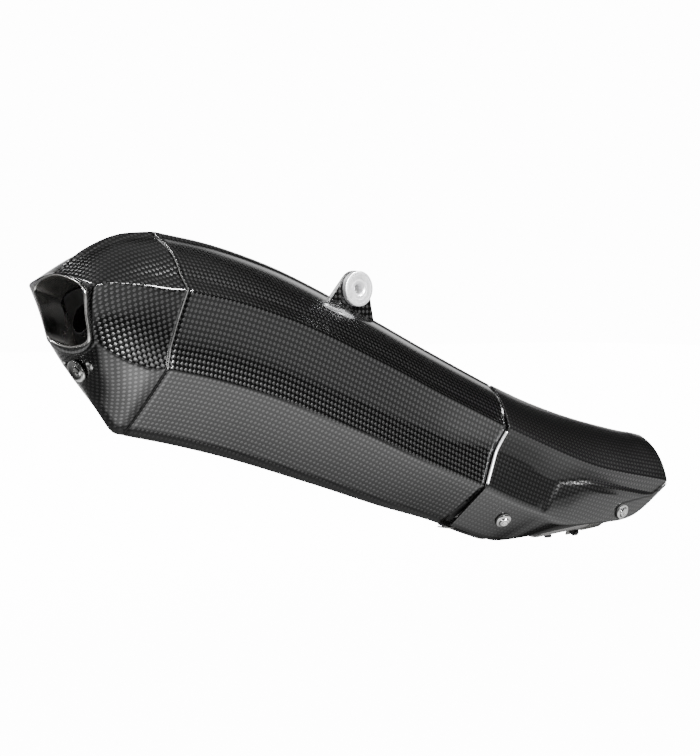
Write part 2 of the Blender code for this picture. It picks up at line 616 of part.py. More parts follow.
# ---------------------------------------------------------------- heat shield
def shield_points(at):
    """The shield's half outline at a station: top ridge, crown, shoulder, side, corner, edge."""
    row = smooth_row(SHIELD_STATIONS, at)
    top = Vector((row[0], 0.0, row[1]))
    shoulder, side, lower, edge = (Vector((row[i], -row[i + 1], row[i + 2])) for i in (2, 5, 8, 11))
    crown = SHIELD_CROWN_REAR + (SHIELD_CROWN_FRONT - SHIELD_CROWN_REAR) * at / SHIELD_END
    along = shoulder - top
    lift = Vector((0.0, along.z, -along.y)).normalized() * crown
    bulge = [top + along * t + lift * (4 * t * (1 - t)) for t in (0.14, 0.4, 0.7)]
    return [top] + bulge + [shoulder, shoulder.lerp(side, 0.5) + Vector((0, 1.0, 0)), side,
                            side.lerp(lower, 0.5), lower, lower.lerp(edge, 0.5), edge]


def shield_surface(at, share):
    return place_on_polyline(shield_points(at), share)


def build_heat_shield():
    bm = bmesh.new()
    rows = []
    for at in steps(SHIELD_START, SHIELD_END, 17):
        right = shield_points(at)
        left = [Vector((p.x, -p.y, p.z)) for p in right]
        rows.append([bm.verts.new(p) for p in right[::-1] + left[1:]])
    for first, second in zip(rows, rows[1:]):
        for i in range(len(first) - 1):
            bm.faces.new((first[i], first[i + 1], second[i + 1], second[i]))
    bmesh.ops.recalc_face_normals(bm, faces=bm.faces)
    middle = max(bm.faces, key=lambda f: f.calc_center_median().z)
    outwards = 1.0 if middle.normal.z > 0 else -1.0
    shield = add_object("heat_shield", bm, CARBON)
    wall = shield.modifiers.new("wall", "SOLIDIFY")
    wall.thickness = SHIELD_WALL * MM
    wall.offset = -outwards
    wall.use_even_offset = True
    for _, _, place in shield_screws():
        drill(shield, place, 3.0, 14.0)


def shield_screws():
    """Name, side and placement of each shield screw."""
    for end, (at, share) in (("rear", SHIELD_SCREW_REAR), ("front", SHIELD_SCREW_FRONT)):
        for side_name, side in (("right", 1), ("left", -1)):
            yield end + "_" + side_name, end, skin_frame(shield_surface, at, share, side)


def build_shield_fasteners():
    for name, end, place in shield_screws():
        turned("shield_washer_" + name, [(2.9, 0.4), (7.3, 0.4), (7.3, 1.3), (2.9, 1.3)], place, RUBBER)
        turned("shield_screw_" + name,
               [(0, -6.6), (2.4, -6.6), (2.4, 1.6), (6.9, 1.6), (6.9, 2.4), (4.9, 2.6), (4.3, 4.2), (3.2, 4.7),
                (1.9, 4.7), (1.9, 3.0), (0, 3.0)], place, BRIGHT)
        bracket = strap("shield_bracket_" + name, BRACKET_PATH[end], BRACKET_THICKNESS, BRACKET_WIDTH[end],
                        place, STEEL)
        drill(bracket, place, 2.9, 12.0)
        low = BRACKET_PATH[end][0][1] - BRACKET_THICKNESS / 2 - FIT_GAP
        turned("shield_nut_" + name, [(3.2, low - 2.0), (4.8, low - 2.0), (4.8, low), (3.2, low)], place,
               DARK_STEEL, 6)


def strap(name, path, thickness, width, place, look):
    """A folded strip: its path (y, z) in the placement's plane, and its width along local x."""
    half = thickness / 2
    left, right = [], []
    for i, here in enumerate(path):
        before, after = path[max(i - 1, 0)], path[min(i + 1, len(path) - 1)]
        first = Vector((here[0] - before[0], here[1] - before[1])).normalized()
        second = Vector((after[0] - here[0], after[1] - here[1])).normalized()
        middle = (first + second).normalized()
        mitre = Vector((-middle.y, middle.x)) * half / max(middle.dot(first), middle.dot(second))
        left.append((here[0] + mitre.x, here[1] + mitre.y))
        right.append((here[0] - mitre.x, here[1] - mitre.y))
    turn = Matrix(((0, 0, 1, -width / 2), (1, 0, 0, 0), (0, 1, 0, 0), (0, 0, 0, 1)))
    return extruded(name, left + right[::-1], width, place @ turn, look)


def build_lower_clip():
    place = Matrix.Rotation(-math.pi / 2, 4, "Z")
    strap("lower_clip", ((98.5, -206.9), (105.5, -208.2), (113.0, -207.4)), 1.3, 9.0,
          Matrix(((0, 1, 0, 0), (-1, 0, 0, 0), (0, 0, 1, 0), (0, 0, 0, 1))), BRIGHT)


# ---------------------------------------------------------------- hanger
def upright(y):
    """Placement of a flat outline (x, z) that grows towards the right side from a plane of constant y."""
    return Matrix.Translation((0, y, 0)) @ Matrix.Rotation(math.pi / 2, 4, "X")


def ridge_direction():
    return (Vector(BLADE_FOOT_FRONT) - Vector(BLADE_FOOT_REAR)).normalized()


def blade_slot(name, clearance, depth, width=None):
    """A box around the blade where it passes through the top ridge."""
    middle = (Vector(BLADE_FOOT_FRONT) + Vector(BLADE_FOOT_REAR)) / 2
    along = ridge_direction()
    across = Vector((-along.y, along.x))
    half = (Vector(BLADE_FOOT_FRONT) - Vector(BLADE_FOOT_REAR)).length / 2 + clearance
    signs = ((-1, -1), (1, -1), (1, 1), (-1, 1))
    corners = [middle + along * (half * u) + across * (depth / 2 * v) for u, v in signs]
    width = width or BLADE_LEFT_Y - BLADE_RIGHT_Y + 2 * FIT_GAP
    centre = (BLADE_LEFT_Y + BLADE_RIGHT_Y) / 2
    return extruded(name, [tuple(c) for c in corners], width, upright(centre + width / 2), STEEL)


def blade_head():
    """The blade's round head about the boss, from the front flank over the top to the rear flank."""
    points = []
    for i in range(13):
        angle = math.radians(-8 + i * 12.4)
        points.append((BLADE_HEAD * math.cos(angle), BLADE_HEAD * math.sin(angle)))
    return points


def blade_outline():
    """The head and two straight flanks down to the top ridge, and the root below it inside the sleeve."""
    along = ridge_direction()
    inwards = Vector((along.y, -along.x)) * BLADE_ROOT
    front, rear = Vector(BLADE_FOOT_FRONT), Vector(BLADE_FOOT_REAR)
    return blade_head() + [tuple(p) for p in (rear, rear + inwards, front + inwards, front)]


def build_hanger():
    blade = extruded("hanger_blade", blade_outline(), BLADE_LEFT_Y - BLADE_RIGHT_Y,
                     upright(BLADE_LEFT_Y), STEEL)
    across = upright(0.0)
    drill(blade, across, GROMMET_RADIUS, 20.0, ROUND_SEGMENTS)
    facing = extruded("hanger_facing", facing_outline(), FACING_THICKNESS,
                      upright(BLADE_RIGHT_Y - FIT_GAP), CARBON)
    drill(facing, across, GROMMET_RADIUS, 20.0, ROUND_SEGMENTS)
    turned("hanger_bush",
           [(BOSS_BORE, -BOSS_TAIL_Y), (BOSS_SHANK, -BOSS_TAIL_Y), (BOSS_SHANK, -BOSS_BACK_Y),
            (BOSS_RADIUS, -BOSS_BACK_Y), (BOSS_RADIUS, -BOSS_FACE_Y), (BOSS_BORE, -BOSS_FACE_Y)],
           across, BRIGHT, 32)
    rubber_outer = GROMMET_RADIUS - FIT_GAP
    turned("hanger_grommet",
           [(BOSS_SHANK + FIT_GAP, -BLADE_LEFT_Y), (rubber_outer, -BLADE_LEFT_Y),
            (rubber_outer, -BLADE_RIGHT_Y),
            (BOSS_SHANK + FIT_GAP, -BLADE_RIGHT_Y)], across, RUBBER)
    turned("hanger_washer",
           [(BOSS_SHANK + FIT_GAP, -4.0), (12.5, -4.0), (12.5, -BLADE_LEFT_Y - FIT_GAP),
            (BOSS_SHANK + FIT_GAP, -BLADE_LEFT_Y - FIT_GAP)], across, BRIGHT)
    build_hanger_foot()


def facing_outline():
    """The blade's outline cut off a little above the top ridge."""
    along = ridge_direction()
    out = Vector((-along.y, along.x)) * FACING_LIFT
    return blade_head() + [tuple(Vector(BLADE_FOOT_REAR) + out + along * 1.6),
                           tuple(Vector(BLADE_FOOT_FRONT) + out * 0.6)]


def build_hanger_foot():
    """Backing plate under the sleeve's top ridge, just below the blade's root."""
    along = ridge_direction()
    inwards = Vector((along.y, -along.x))
    middle = (Vector(BLADE_FOOT_FRONT) + Vector(BLADE_FOOT_REAR)) / 2 + inwards * (BLADE_ROOT + FIT_GAP)
    signs = ((-1, 0), (1, 0), (1, 1), (-1, 1))
    corners = [middle + along * (FOOT_LENGTH / 2 * u) + inwards * (FOOT_THICKNESS * v) for u, v in signs]
    extruded("hanger_foot", [tuple(c) for c in corners], FOOT_WIDTH, upright(FOOT_WIDTH / 2), STEEL)


def main():
    clear_scene()
    build_end_cap()
    build_outer_sleeve()
    build_seam_rings()
    build_bulkheads()
    build_core()
    build_packing()
    build_outlet_liner()
    build_noise_damper()
    build_cap_fasteners()
    build_inlet_cone()
    build_inlet_pipe()
    build_clamp()
    build_test_port_plug()
    build_heat_shield()
    build_shield_fasteners()
    build_lower_clip()
    build_hanger()


main()
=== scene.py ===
"""Looks of the exhaust muffler: fine carbon shells, detailed metal pieces, materials, stage and camera.

The shells repeat the stations of the CAD model, in millimetres in its own frame: +X forward, +Z up,
-Y away from the motorcycle, origin on the hanger bolt's axis.
"""
import math

import bpy
from mathutils import Matrix, Vector


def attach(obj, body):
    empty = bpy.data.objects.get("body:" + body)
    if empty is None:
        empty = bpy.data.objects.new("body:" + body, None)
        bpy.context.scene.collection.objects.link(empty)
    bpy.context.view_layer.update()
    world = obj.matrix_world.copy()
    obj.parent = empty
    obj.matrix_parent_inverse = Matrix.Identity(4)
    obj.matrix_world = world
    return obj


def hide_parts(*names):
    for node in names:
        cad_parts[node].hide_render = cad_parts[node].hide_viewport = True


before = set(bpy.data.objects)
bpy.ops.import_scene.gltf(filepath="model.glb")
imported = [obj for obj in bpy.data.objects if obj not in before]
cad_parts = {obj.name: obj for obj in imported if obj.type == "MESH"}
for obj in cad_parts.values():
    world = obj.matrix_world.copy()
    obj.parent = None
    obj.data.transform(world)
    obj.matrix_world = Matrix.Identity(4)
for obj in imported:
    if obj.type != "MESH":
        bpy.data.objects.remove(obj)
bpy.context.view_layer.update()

MM = 0.001
BODY = "muffler"

# ---------------------------------------------------------------- shape, as in the CAD model
# shoulder_y, waist_y and lower_y are half widths, and names in _f are shares of the section's own height
STATION_NAMES = ("top_x", "top_z", "bottom_x", "bottom_z", "shoulder_y", "shoulder_f",
                 "waist_y", "waist_f", "lower_y", "lower_f", "crown", "belly", "band_y", "band_h")
END_CAP_STATIONS = (
    (0.00, (-302.5, 14.0, -287.0, -51.0, 46.0, 0.835, 36.0, 0.45, 33.0, 0.160, 1.0, 3.5, 3.0, 2.0)),
    (0.35, (-276.0, 31.8, -277.0, -72.0, 50.0, 0.742, 39.5, 0.44, 37.5, 0.225, 3.0, 5.0, 7.0, 6.0)),
    (0.70, (-241.5, 44.0, -260.5, -100.2, 54.5, 0.712, 43.5, 0.44, 43.0, 0.292, 4.0, 3.5, 10.0, 9.0)),
    (0.88, (-221.9, 45.6, -248.5, -113.2, 56.6, 0.714, 44.9, 0.44, 45.0, 0.322, 4.0, 2.2, 11.3, 10.3)),
    (1.00, (-208.7, 46.0, -238.5, -115.6, 57.8, 0.715, 45.6, 0.43, 46.0, 0.332, 4.0, 0.8, 12.0, 11.0)),
)
SLEEVE_STATIONS = (
    (1.00, (-208.7, 46.0, -238.5, -115.8, 57.8, 0.715, 45.6, 0.43, 46.0, 0.332, 4.0, 0.8, 12.0, 11.0)),
    (1.25, (-154.0, 36.5, -192.0, -124.8, 56.3, 0.714, 45.0, 0.44, 45.4, 0.328, 4.0, 0.8, 10.5, 10.0)),
    (1.50, (-99.7, 21.8, -144.0, -135.8, 54.5, 0.713, 44.0, 0.45, 44.8, 0.325, 4.0, 0.8, 9.0, 9.0)),
    (2.00, (4.0, -19.0, -48.5, -162.5, 49.5, 0.712, 41.0, 0.47, 43.0, 0.315, 3.8, 0.8, 7.5, 8.0)),
    (2.50, (80.0, -52.5, 24.5, -184.3, 45.2, 0.710, 37.8, 0.49, 41.0, 0.300, 3.6, 0.8, 6.5, 7.0)),
    (3.00, (156.0, -85.0, 98.6, -205.0, 40.8, 0.709, 34.6, 0.52, 38.7, 0.282, 3.5, 0.8, 5.5, 6.5)),
    (3.20, (186.0, -97.5, 128.0, -216.0, 40.8, 0.709, 36.0, 0.52, 38.5, 0.282, 3.5, 0.8, 5.5, 6.5)),
)
SEAM_STATION = 1.0
CAP_FRONT, SLEEVE_REAR, SLEEVE_END = 0.9918, 1.0037, 2.99
RIM_SWEEP, RIM_FADE = 3.5, 0.35
SPINE_Y, SPINE_DROP, FULL_CROWN, FLARE_IN = 5.5, 4.5, 4.0, 1.0
CARBON_WALL = 1.6
# top (x, z), then shoulder, side, lower corner and edge, each (x, half width, z)
SHIELD_STATIONS = (
    (156.5, -84.8, 140.2, 41.2, -119.5, 129.0, 35.2, -141.7, 115.0, 39.2, -170.8, 101.5, 8.0, -205.5),
    (194.0, -98.8, 180.0, 42.0, -134.8, 169.0, 37.5, -158.0, 151.0, 38.6, -186.4, 135.0, 8.0, -216.5),
    (230.0, -110.2, 219.0, 42.3, -149.0, 206.0, 38.0, -173.0, 184.2, 38.2, -198.3, 157.5, 8.0, -221.8),
    (259.0, -118.0, 250.0, 42.3, -158.3, 242.0, 41.5, -182.0, 212.0, 35.5, -208.7, 192.0, 18.8, -218.4),
    (286.0, -124.2, 279.0, 42.0, -164.4, 272.0, 41.5, -187.0, 258.0, 35.0, -209.8, 250.0, 24.0, -211.5),
    (313.0, -129.8, 307.0, 41.3, -169.5, 302.0, 39.0, -189.0, 291.0, 33.0, -208.5, 285.0, 24.0, -210.5),
    (332.0, -132.8, 326.5, 40.7, -173.0, 323.0, 38.0, -187.0, 313.0, 33.0, -201.0, 310.0, 25.0, -204.5),
    (344.2, -135.4, 339.5, 40.0, -175.5, 339.0, 39.8, -178.0, 338.0, 39.2, -180.5, 335.0, 34.0, -183.5),
)
SHIELD_START, SHIELD_END, SHIELD_WALL = 0.03, 7.0, 1.8        # stations, and the carbon's thickness
SHIELD_CROWN_REAR, SHIELD_CROWN_FRONT = 3.8, 7.0
MOUTH_TOP, MOUTH_BOTTOM = (-302.4, 12.5), (-288.8, -45.8)
# (half width, height above the mouth's bottom)
MOUTH_OUTLINE = ((0.0, 59.4), (9.0, 58.6), (18.0, 56.6), (26.5, 53.8), (32.5, 50.2), (35.2, 44.6),
                 (33.2, 36.5), (30.8, 26.0), (29.5, 12.0), (23.5, 4.0), (0.0, 0.0))
LINER_WALL, LINER_LENGTH = 1.2, 92.0
AXIS_PITCH = 17.25
AXIS = Vector((math.cos(math.radians(AXIS_PITCH)), 0.0, -math.sin(math.radians(AXIS_PITCH))))

# ---------------------------------------------------------------- looks
WEAVE, SHIELD_WEAVE = 4.3, 4.0          # distance between neighbouring bright dots of the carbon weave, mm
CAP_WEAVE_TURN = -25.0                  # the end cap's cloth is laid at this angle to the sleeve's, degrees
SLEEVE_ROWS, CAP_ROWS, SHIELD_ROWS, INSIDE_ROWS = 90, 44, 110, 30


# ---------------------------------------------------------------- smooth rows and outlines
def smooth_row(rows, at):
    """Values at a place along rows of (place, values), on one smooth curve through all of them."""
    keys = [row[0] for row in rows]
    last = len(rows) - 1
    at = min(max(at, keys[0]), keys[last])
    left = max(i for i in range(last) if keys[i] <= at)
    span = keys[left + 1] - keys[left]
    t = (at - keys[left]) / span

    def slope(i, column):
        value = [row[1][column] for row in rows]
        if i == 0:
            return (value[1] - value[0]) / (keys[1] - keys[0])
        if i == last:
            return (value[last] - value[last - 1]) / (keys[last] - keys[last - 1])
        before, after = keys[i] - keys[i - 1], keys[i + 1] - keys[i]
        rise, fall = (value[i] - value[i - 1]) / before, (value[i + 1] - value[i]) / after
        return (rise * after + fall * before) / (before + after)

    result = []
    for column in range(len(rows[0][1])):
        a, b = rows[left][1][column], rows[left + 1][1][column]
        result.append(a * (1 + 2 * t) * (1 - t) ** 2 + slope(left, column) * span * t * (1 - t) ** 2
                      + b * t * t * (3 - 2 * t) + slope(left + 1, column) * span * t * t * (t - 1))
    return result


def steps(first, last, count):
    """Evenly spaced values, both ends included."""
    return [first + (last - first) * i / (count - 1) for i in range(count)]


def smoothstep(low, high, value):
    """A smooth rise from 0 at low to 1 at high."""
    t = min(max((value - low) / (high - low), 0.0), 1.0)
    return t * t * (3 - 2 * t)


def station(at):
    """The body's named values at a station, which counts from 0 at the outlet to 3.2 at the front."""
    rows = END_CAP_STATIONS if at < SEAM_STATION else SLEEVE_STATIONS
    return dict(zip(STATION_NAMES, smooth_row(rows, at)))


def bulged(start, end, share, bulge):
    """A point on the line from start to end, pushed to the left of it by a parabola of that bulge."""
    along = end - start
    push = bulge * 4 * share * (1 - share)
    return start + along * share + Vector((-along.y, along.x)).normalized() * push


def key_points(s):
    """The hexagon's eleven key points as (half width, height), from the top ridge to the bottom ridge."""
    height = math.hypot(s["top_x"] - s["bottom_x"], s["top_z"] - s["bottom_z"])
    shoulder = Vector((s["shoulder_y"], s["shoulder_f"] * height))
    band = shoulder + Vector((-s["band_y"], s["band_h"]))
    spine_share = s["crown"] / FULL_CROWN
    spine = Vector((SPINE_Y * spine_share, height - SPINE_DROP * spine_share))
    waist = Vector((s["waist_y"], s["waist_f"] * height))
    lower = Vector((s["lower_y"], s["lower_f"] * height))
    flare = (shoulder + waist) / 2 - Vector((FLARE_IN, 0.0))
    bottom = Vector((0.0, 0.0))
    return [Vector((0.0, height)), spine, bulged(spine, band, 1 / 3, s["crown"]),
            bulged(spine, band, 2 / 3, s["crown"]), band, shoulder, flare, waist, lower,
            bulged(lower, bottom, 0.5, s["belly"]), bottom]


class Outline:
    """A smooth curve through key points, with corners at some of them, read by a key number."""

    def __init__(self, keys, corners, level_ends=False):
        self.keys, self.corners, self.level_ends = keys, corners, level_ends

    def slopes(self, k):
        """The slopes arriving at and leaving key k."""
        keys, last = self.keys, len(self.keys) - 1
        if k == 0 or k == last:
            inner = keys[1] if k == 0 else keys[last - 1]
            slope = (inner - keys[k]) * (1.0 if k == 0 else -1.0)
            if self.level_ends:
                slope = Vector((slope.x, 0.0))
            return slope, slope
        if k not in self.corners:
            middle = (keys[k + 1] - keys[k - 1]) / 2
            return middle, middle
        arriving, leaving = keys[k] - keys[k - 1], keys[k + 1] - keys[k]
        if k - 1 > 0 and k - 1 not in self.corners:
            arriving = arriving * 2 - self.slopes(k - 1)[1]
        if k + 1 < last and k + 1 not in self.corners:
            leaving = leaving * 2 - self.slopes(k + 1)[0]
        return arriving, leaving

    def at(self, q):
        """The point at a key number, which may lie between two keys."""
        k = min(int(q), len(self.keys) - 2)
        t = q - k
        first, second = self.slopes(k)[1], self.slopes(k + 1)[0]
        return (self.keys[k] * (1 + 2 * t) * (1 - t) ** 2 + first * t * (1 - t) ** 2
                + self.keys[k + 1] * t * t * (3 - 2 * t) + second * t * t * (t - 1))

    def rounded(self, q, fillets):
        """The curve with its corners rounded: fillets maps a key to its reach in key numbers."""
        for k, reach in fillets.items():
            if abs(q - k) < reach:
                t = (q - k + reach) / (2 * reach)
                start, end = self.at(max(k - reach, 0.0)), self.at(min(k + reach, len(self.keys) - 1.0))
                return start * (1 - t) ** 2 + self.keys[k] * 2 * t * (1 - t) + end * t * t
        return self.at(q)


def fillet_columns(spans, fillets):
    """Key numbers of the columns: evenly spaced in each span, and five across each rounded corner."""
    columns = []
    for k, count in enumerate(spans):
        low, high = k + fillets.get(k, 0.0), k + 1 - fillets.get(k + 1, 0.0)
        if k in fillets and k > 0:
            columns += [k - fillets[k] / 2, k, k + fillets[k] / 2]
        columns += steps(low, high, count)
        if k + 1 not in fillets:
            columns.pop()
    columns.append(float(len(spans)))
    return columns


SECTION_CORNERS = (1, 4, 5, 8)
SECTION_FILLETS = {1: 0.3, 4: 0.10, 5: 0.09, 8: 0.10}
SECTION_COLUMNS = fillet_columns((3, 3, 4, 4, 3, 4, 4, 4, 4, 4), SECTION_FILLETS)
SHOULDER_COLUMN = SECTION_COLUMNS.index(5)


def both_halves(half):
    """A closed loop of (y, height) from its half: down the right side, at -y, and up the left."""
    return [(-p[0], p[1]) for p in half] + [(p[0], p[1]) for p in half[-2:0:-1]]


def inset(outline, distance):
    """The closed outline moved inwards by a distance."""
    count = len(outline)
    area = sum(outline[i][0] * outline[(i + 1) % count][1] - outline[(i + 1) % count][0] * outline[i][1]
               for i in range(count))
    turn = 1.0 if area > 0 else -1.0
    moved = []
    for i in range(count):
        before, here, after = outline[i - 1], outline[i], outline[(i + 1) % count]
        along = Vector((after[0] - before[0], after[1] - before[1])).normalized()
        moved.append((here[0] - along.y * turn * distance, here[1] + along.x * turn * distance))
    return moved


def section_loop(at, inwards=0.0, sweep=0.0):
    """Points of the body's section at a station, moved inwards from the outer skin."""
    s = station(at)
    height = math.hypot(s["top_x"] - s["bottom_x"], s["top_z"] - s["bottom_z"])
    outline = Outline(key_points(s), SECTION_CORNERS)
    flat = both_halves([outline.rounded(q, SECTION_FILLETS) for q in SECTION_COLUMNS])
    if inwards:
        flat = inset(flat, inwards)
    points = []
    for y, h in flat:
        share = h / height
        swept = sweep * (y / s["shoulder_y"]) ** 2
        x = s["bottom_x"] + (s["top_x"] - s["bottom_x"]) * share + swept
        z = s["bottom_z"] + (s["top_z"] - s["bottom_z"]) * share
        points.append(Vector((x, y, z)))
    return points


def cap_loop(at, inwards=0.0):
    """The section of the end cap, whose rim sweeps forward at its sides."""
    return section_loop(at, inwards, RIM_SWEEP * max(0.0, 1.0 - at / RIM_FADE))


MOUTH_UP = Vector((MOUTH_TOP[0] - MOUTH_BOTTOM[0], 0.0, MOUTH_TOP[1] - MOUTH_BOTTOM[1])).normalized()
MOUTH_IN = Vector((MOUTH_UP.z, 0.0, -MOUTH_UP.x))


def mouth_loop(inwards, depth):
    """The liner's outline moved inwards, at a depth along the gas axis from the mouth's plane."""
    outline = Outline([Vector(p) for p in MOUTH_OUTLINE], (), level_ends=True)
    flat = inset(both_halves([outline.at(q) for q in SECTION_COLUMNS]), inwards)
    bottom = Vector((MOUTH_BOTTOM[0], 0.0, MOUTH_BOTTOM[1]))
    return [bottom + MOUTH_UP * h + Vector((0.0, y, 0.0)) + AXIS * depth for y, h in flat]


# ---------------------------------------------------------------- meshes
def new_piece(name, verts, faces, look, uvs=None, sharp=None, stands_for=()):
    """A smooth-shaded piece from millimetre vertices, riding on the body and standing for its CAD nodes.
    Edges over the sharp angle, in degrees, stay crisp."""
    mesh = bpy.data.meshes.new(name)
    mesh.from_pydata([tuple(v * MM for v in p) for p in verts], [], faces)
    if uvs:
        layer = mesh.uv_layers.new(name="weave")
        for loop in mesh.loops:
            layer.data[loop.index].uv = uvs[loop.vertex_index]
    mesh.shade_smooth()
    if sharp:
        mesh.set_sharp_from_angle(angle=math.radians(sharp))
    mesh.validate()
    piece = bpy.data.objects.new(name, mesh)
    bpy.context.scene.collection.objects.link(piece)
    mesh.materials.append(look)
    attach(piece, BODY)
    if stands_for:
        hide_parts(*stands_for)
    return piece


def lofted(loops, close_rows=True, cap_ends=False):
    """Vertices and faces of a skin through closed loops with the same number of points."""
    count = len(loops[0])
    verts = [point for loop in loops for point in loop]
    faces = []
    rows = len(loops)
    for i in range(rows if close_rows else rows - 1):
        k = (i + 1) % rows
        for j in range(count):
            m = (j + 1) % count
            faces.append((i * count + j, i * count + m, k * count + m, k * count + j))
    if cap_ends:
        faces.append(tuple(range(count))[::-1])
        faces.append(tuple((rows - 1) * count + j for j in range(count)))
    return verts, outward(verts, faces)


def outward(verts, faces):
    """The faces turned so that they point out of the solid."""
    volume = 0.0
    for face in faces:
        for i in range(1, len(face) - 1):
            a, b, c = verts[face[0]], verts[face[i]], verts[face[i + 1]]
            volume += a.dot(b.cross(c))
    return faces if volume > 0 else [face[::-1] for face in faces]


def weave_uvs(loops, anchor_row, anchor_column, turn=0.0):
    """Cloth coordinates in dots: distance along the body, and distance round it from an anchor column.
    The cloth may be laid turned by some degrees."""
    rows, count = len(loops), len(loops[0])
    half = count // 2
    across = []
    for loop in loops:
        right = [0.0]
        for j in range(1, half + 1):
            right.append(right[-1] + (loop[j] - loop[j - 1]).length)
        whole = right + right[-2:0:-1]
        across.append([value - right[anchor_column] for value in whole])
    along = [[0.0] * count]
    for i in range(1, rows):
        along.append([along[-1][j] + (loops[i][j] - loops[i - 1][j]).length for j in range(count)])
    base = along[anchor_row]
    cosine, sine = math.cos(math.radians(turn)) / WEAVE, math.sin(math.radians(turn)) / WEAVE
    places = [(along[i][j] - base[j], across[i][j]) for i in range(rows) for j in range(count)]
    return [(u * cosine - v * sine, u * sine + v * cosine) for u, v in places]


SLEEVE_EASE = 0.2275                    # how far the sleeve's rear edge is drawn in


def build_sleeve(look):
    """The long shell: its skin from rear to front, and back along the inside."""
    outer = [section_loop(at) for at in steps(SLEEVE_REAR, SLEEVE_END, SLEEVE_ROWS)]
    inner = [section_loop(at, CARBON_WALL) for at in steps(SLEEVE_END, SLEEVE_REAR, INSIDE_ROWS)]
    loops = [section_loop(SLEEVE_REAR, SLEEVE_EASE)] + outer + inner
    verts, faces = lofted(loops)
    new_piece("carbon_sleeve", verts, faces, look, weave_uvs(loops, 1, SHOULDER_COLUMN),
              stands_for=("outer_sleeve",))


# from the cap's rim to the mouth: (share of the way, how far the lip stands proud)
LIP_CROSSING = ((0.03, 0.45), (0.10, 0.70), (0.25, 0.60), (0.55, 0.15), (0.85, -0.45), (0.96, -0.75))
THROAT_RINGS = ((-0.5, 1.2), (-0.5, 5.0), (-1.6, 5.0))        # (inwards, depth)
CAP_INSIDE_START, CAP_INSIDE_ROWS = 0.12, 16


def build_end_cap(look):
    """The tapered cap: its skin runs over a rounded rim, down a narrow lip and back along the inside."""
    outer = [cap_loop(at) for at in steps(CAP_FRONT, 0.0, CAP_ROWS)]
    rim, mouth = cap_loop(0.0), mouth_loop(THROAT_RINGS[0][0], 0.0)
    lip = []
    for share, lift in LIP_CROSSING:
        lip.append([a.lerp(b, share) - MOUTH_IN * lift for a, b in zip(rim, mouth)])
    throat = [mouth_loop(inwards, depth) for inwards, depth in THROAT_RINGS]
    inner = [cap_loop(at, CARBON_WALL) for at in steps(CAP_INSIDE_START, CAP_FRONT, CAP_INSIDE_ROWS)]
    loops = outer + lip + throat + inner
    verts, faces = lofted(loops)
    new_piece("carbon_end_cap", verts, faces, look, weave_uvs(loops, 0, SHOULDER_COLUMN, CAP_WEAVE_TURN),
              stands_for=("end_cap",))


# (inwards, depth)
ROLLED_EDGE = ((-0.15, 0.5), (0.0, -0.5), (0.35, -0.95), (0.85, -1.0), (1.3, -0.6), (1.45, 0.2))
LINER_START, LINER_ROWS, LINER_BACK_START = 1.6, 24, 2.0
LINER_END = LINER_LENGTH * 0.86                 # it stops short of the CAD liner's deep end


def build_liner(look):
    """The folded steel liner with its rolled edge standing a little proud of the lip."""
    loops = [mouth_loop(inwards, depth) for inwards, depth in ROLLED_EDGE]
    loops += [mouth_loop(LINER_WALL, depth) for depth in steps(LINER_START, LINER_END, LINER_ROWS)]
    loops += [mouth_loop(0.0, depth) for depth in (LINER_END, LINER_BACK_START)]
    verts, faces = lofted(loops)
    new_piece("steel_outlet_liner", verts, faces, look, stands_for=("outlet_liner",))


# ---------------------------------------------------------------- heat shield
SHIELD_FILLETS = {1: 0.07, 3: 0.12, 4: 0.10}
SHIELD_COLUMNS = fillet_columns((22, 14, 12, 18, 9), SHIELD_FILLETS)
# the raised panel's outline (x, z), and its rise, which grows upwards and forward from a slanted line
PANEL_CORNERS = ((205.0, -171.8), (240.0, -172.5), (274.0, -178.6), (322.0, -187.4), (279.0, -193.5),
                 (259.0, -207.6), (213.0, -207.6), (183.0, -198.2))
PANEL_FOOT, PANEL_HEIGHT, PANEL_RISE_LOW, PANEL_RISE_HIGH, PANEL_BEVEL = -208.0, 34.0, 0.2, 2.2, 3.6
PANEL_REAR, PANEL_LEAN, PANEL_LEAD, PANEL_REAR_SHARE = 175.0, 0.83, 30.0, 0.5
SHIELD_HOLLOW = 1.0                     # how far the upper side is drawn in between shoulder and side
SOFT_EDGE, SOFT_EDGE_ANGLE = 0.35, 50.0


def shield_outline(at):
    """The shield's half outline: top ridge, shoulder, side, lower corner and bottom edge, as 3-D keys."""
    row = smooth_row(list(enumerate(SHIELD_STATIONS)), at)
    top = Vector((row[0], 0.0, row[1]))
    shoulder, side, lower, edge = (Vector((row[i], -row[i + 1], row[i + 2])) for i in (2, 5, 8, 11))
    return top, shoulder, side, lower, edge


